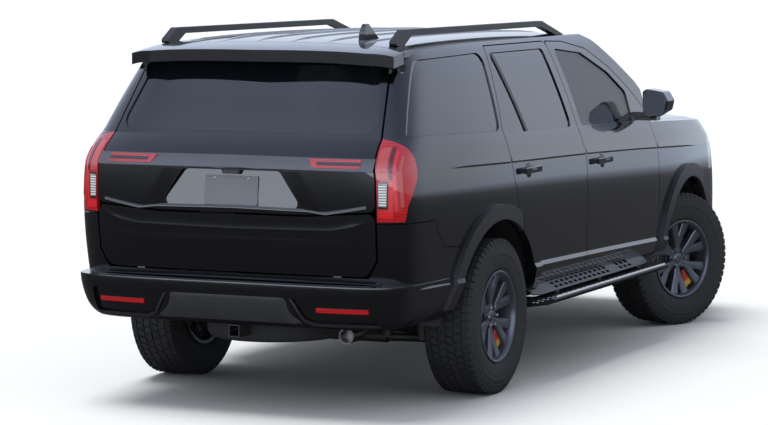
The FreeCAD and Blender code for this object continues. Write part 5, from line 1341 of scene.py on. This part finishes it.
def crownedShape(kind):
    x, y, z = [s * seatLook["start"] for s in seatLook["sizes"][kind]]
    power = seatLook["crown"]
    mesh = bmesh.new()
    bmesh.ops.create_cube(mesh, size=1)
    bmesh.ops.subdivide_edges(mesh, edges=mesh.edges[:], cuts=seatLook["cuts"], use_grid_fill=True)
    for v in mesh.verts:
        q = v.co * 2
        q /= (abs(q.x) ** power + abs(q.y) ** power + abs(q.z) ** power) ** (1 / power)
        v.co = Vector((q.x * x / 2, q.y * y / 2, q.z * z / 2)) * mm
    data = bpy.data.meshes.new(kind + "Shape")
    mesh.to_mesh(data)
    mesh.free()
    return data


def swollenShape(kind):
    data = crownedShape(kind)
    pad = placed(kind + "Shape", data)
    remesh = pad.modifiers.new("remesh", "REMESH")
    remesh.mode, remesh.voxel_size = "VOXEL", seatLook["voxel"]
    bpy.context.view_layer.update()
    rest = evaluatedMesh(pad)
    pad.modifiers.remove(remesh)
    pad.data = rest
    cloth = pad.modifiers.new("cloth", "CLOTH")
    cloth.settings.use_pressure = True
    cloth.settings.uniform_pressure_force = seatLook["pressure"]
    cloth.settings.effector_weights.gravity = 0
    cloth.settings.quality = 4
    for i in range(1, seatLook["frames"] + 1):
        bpy.context.scene.frame_set(i)
    swollen = evaluatedMesh(pad)
    for a, b in zip(swollen.vertices, rest.vertices):
        move = a.co - b.co
        if move.length > seatLook["cap"]:
            a.co = b.co + move.normalized() * seatLook["cap"]
    bpy.data.objects.remove(pad)
    bpy.context.scene.frame_set(1)
    return swollen


# A shape fitted to its size, with channels along it and a seam round its edge on the faces across an axis
def fitted(data, size, channels, axis):
    co = np.array([v.co[:] for v in data.vertices])
    low, high = co.min(axis=0), co.max(axis=0)
    target = np.array(size) * mm * seatLook["fit"]
    co = (co - (low + high) / 2) * (target / (high - low))
    span = target[1]
    for i in range(channels):
        middle = span * ((i + 1) / (channels + 1) - 0.5)
        near = np.exp(-((co[:, 1] - middle) / seatLook["channelWide"]) ** 2)
        side = co[:, axis] / (target[axis] / 2)
        co[:, axis] -= np.sign(side) * near * (abs(side) > 0.5) * seatLook["channelDeep"]
    near = np.exp(-((abs(co[:, 1]) - (span / 2 - seatLook["seam"])) / seatLook["seamWide"]) ** 2)
    near *= abs(co[:, axis]) > 0.3 * target[axis]
    co[:, axis] -= np.sign(co[:, axis]) * near * seatLook["seamDeep"]
    fit = data.copy()
    for v, p in zip(fit.vertices, co.tolist()):
        v.co = p
    return fit


def makeSeat(shapes, tag, x, y, wide, ground):
    sizes = {kind: (size[0], size[1] if kind == "head" else wide, size[2])
             for kind, size in seatLook["sizes"].items()}
    low = ground + seatLook["lift"] + sizes["cushion"][2] / 2
    back = Matrix.Translation(metres(x, y, low)) @ Matrix.Rotation(math.radians(-seatLook["lean"]), 4, "Y")
    headZ = sizes["back"][2] - seatLook["headSink"] + sizes["head"][2] / 2
    spots = {"cushion": Matrix.Translation(metres(x + sizes["cushion"][0] / 2, y, low)),
             "back": back @ Matrix.Translation(metres(0, 0, sizes["back"][2] / 2)),
             "head": back @ Matrix.Translation(metres(0, 0, headZ))}
    for kind, spot in spots.items():
        channels = 0 if kind == "head" else seatLook["channels"]
        data = fitted(shapes[kind], sizes[kind], channels, 2 if kind == "cushion" else 0)
        data.transform(spot)
        piece = addPiece("seat" + kind.title() + tag, data, "seatLeather", "body", "seat_leather", ("seats",),
                         sharp=60)
    start, end, top, inset = seatLook["foot"]
    foot = boxRings(x + start, x + end, y - wide / 3, y + wide / 3, ground + 1, ground + top, inset)
    addPiece("seatFoot" + tag, loftedMesh("foot", foot), "cabinPlastic", "body", "cabin_plastic", ("seats",))


def makeSeats():
    shapes = {kind: swollenShape(kind) for kind in seatLook["sizes"]}
    for row, (x, places, wide, ground) in enumerate(seatLook["rows"]):
        for number, y in enumerate(places):
            makeSeat(shapes, "%d%d" % (row + 1, number + 1), x, y, wide, ground)


makeSeats()
print("seats padded")

# Camera, from the photograph: place in metres, turn in radians, focal length in the photograph's pixels
cameraView = {"place": (-15.2175, -6.6903, 2.3386), "yaw": 0.433773, "pitch": 0.092573, "roll": -0.002729,
              "focal": 2844.9, "photoWide": 768, "sensor": 36, "reach": 500}


def makeCamera():
    yaw, pitch, roll = cameraView["yaw"], cameraView["pitch"], cameraView["roll"]
    ahead = Vector((math.cos(yaw) * math.cos(pitch), math.sin(yaw) * math.cos(pitch), -math.sin(pitch)))
    right = Vector((math.sin(yaw), -math.cos(yaw), 0))
    up = right.cross(ahead)
    across = math.cos(roll) * right + math.sin(roll) * up
    over = -math.sin(roll) * right + math.cos(roll) * up
    camera = placed("camera", bpy.data.cameras.new("camera"))
    turn = Matrix((across, over, -ahead)).transposed()
    camera.matrix_world = Matrix.Translation(cameraView["place"]) @ turn.to_4x4()
    camera.data.lens = cameraView["focal"] * cameraView["sensor"] / cameraView["photoWide"]
    camera.data.sensor_width = cameraView["sensor"]
    camera.data.clip_end = cameraView["reach"]
    bpy.context.scene.camera = camera


makeCamera()

# Floor, sky and lamps. Only reflections see the dark ground and the bright horizon behind the viewer.
studio = {"floorHalf": 260, "pale": (0.96, 0.96, 0.96), "dark": (0.062, 0.06, 0.06), "far": (0.6, 0.68, 0.8),
          "darkReach": (16, 26), "ambient": (0.9, 0.94, 1.0), "ambientStrength": 0.56, "sun": 2.0,
          "sunSoft": 34, "sunTurn": (-15, 4), "behindSlope": 1.6, "behindStart": 0.45,
          "sky": [(0.0, (0.74, 0.82, 0.92)), (1.0, (0.42, 0.5, 0.74)), (0.3, (0.78, 0.88, 1.1))],
          "behind": [(0.0, (3.4, 3.7, 4.2)), (1.0, (1.2, 1.3, 1.8)), (0.14, (2.8, 3.1, 3.6)),
                     (0.24, (0.8, 0.9, 1.05)), (0.55, (2.5, 2.7, 3.7))]}


def makeFloor():
    half = studio["floorHalf"]
    mesh = bpy.data.meshes.new("floor")
    corners = [(-half, -half, 0), (half, -half, 0), (half, half, 0), (-half, half, 0)]
    mesh.from_pydata(corners, [], [(0, 1, 2, 3)])
    floor = placed("floor", mesh)
    f = Finish("floorPale")
    near, far = studio["darkReach"]
    ahead = ((f.along("X") - near) / (far - near)).clamped()
    mirrored = f.between(ahead, studio["dark"], studio["far"])
    colour = f.between(f.get("LightPath", output="Is Glossy Ray"), studio["pale"], mirrored)
    mesh.materials.append(f.surface(Base_Color=colour, Roughness=0.9, Specular_IOR_Level=0.1))


def makeSky():
    world = bpy.data.worlds.new("studio")
    world.use_nodes = True
    bpy.context.scene.world = world
    w = Finish("studio", world.node_tree)
    path = w.make("LightPath")
    direct = (Link(w, path.outputs["Is Camera Ray"]) + Link(w, path.outputs["Is Transmission Ray"])).clamped()
    way = w.get("TexCoord", output="Generated")
    up = w.get("SeparateXYZ", sockets={0: way}, output="Z")
    ahead = w.get("SeparateXYZ", sockets={0: way}, output="X")
    back = (0 - ahead * studio["behindSlope"] - studio["behindStart"]).clamped()
    side = w.get("ValToRGB", {"stops": studio["sky"]}, {0: up})
    rear = w.get("ValToRGB", {"stops": studio["behind"]}, {0: up})
    ambient = tuple(c * studio["ambientStrength"] for c in studio["ambient"])
    lit = w.between(Link(w, path.outputs["Is Glossy Ray"]), ambient, w.between(back, side, rear))
    seen = w.between(direct, lit, (1, 1, 1))
    w.make("OutputWorld", sockets={0: w.get("Background", sockets={0: seen, 1: 1.0})})


def makeSun():
    sun = placed("sun", bpy.data.lights.new("sun", "SUN"))
    sun.data.energy = studio["sun"]
    sun.data.angle = math.radians(studio["sunSoft"])
    sun.rotation_euler = (*[math.radians(angle) for angle in studio["sunTurn"]], 0)
    sun.visible_glossy = False


makeFloor()
makeSky()
makeSun()
bpy.context.scene.view_settings.view_transform = "Standard"
print("studio lit")
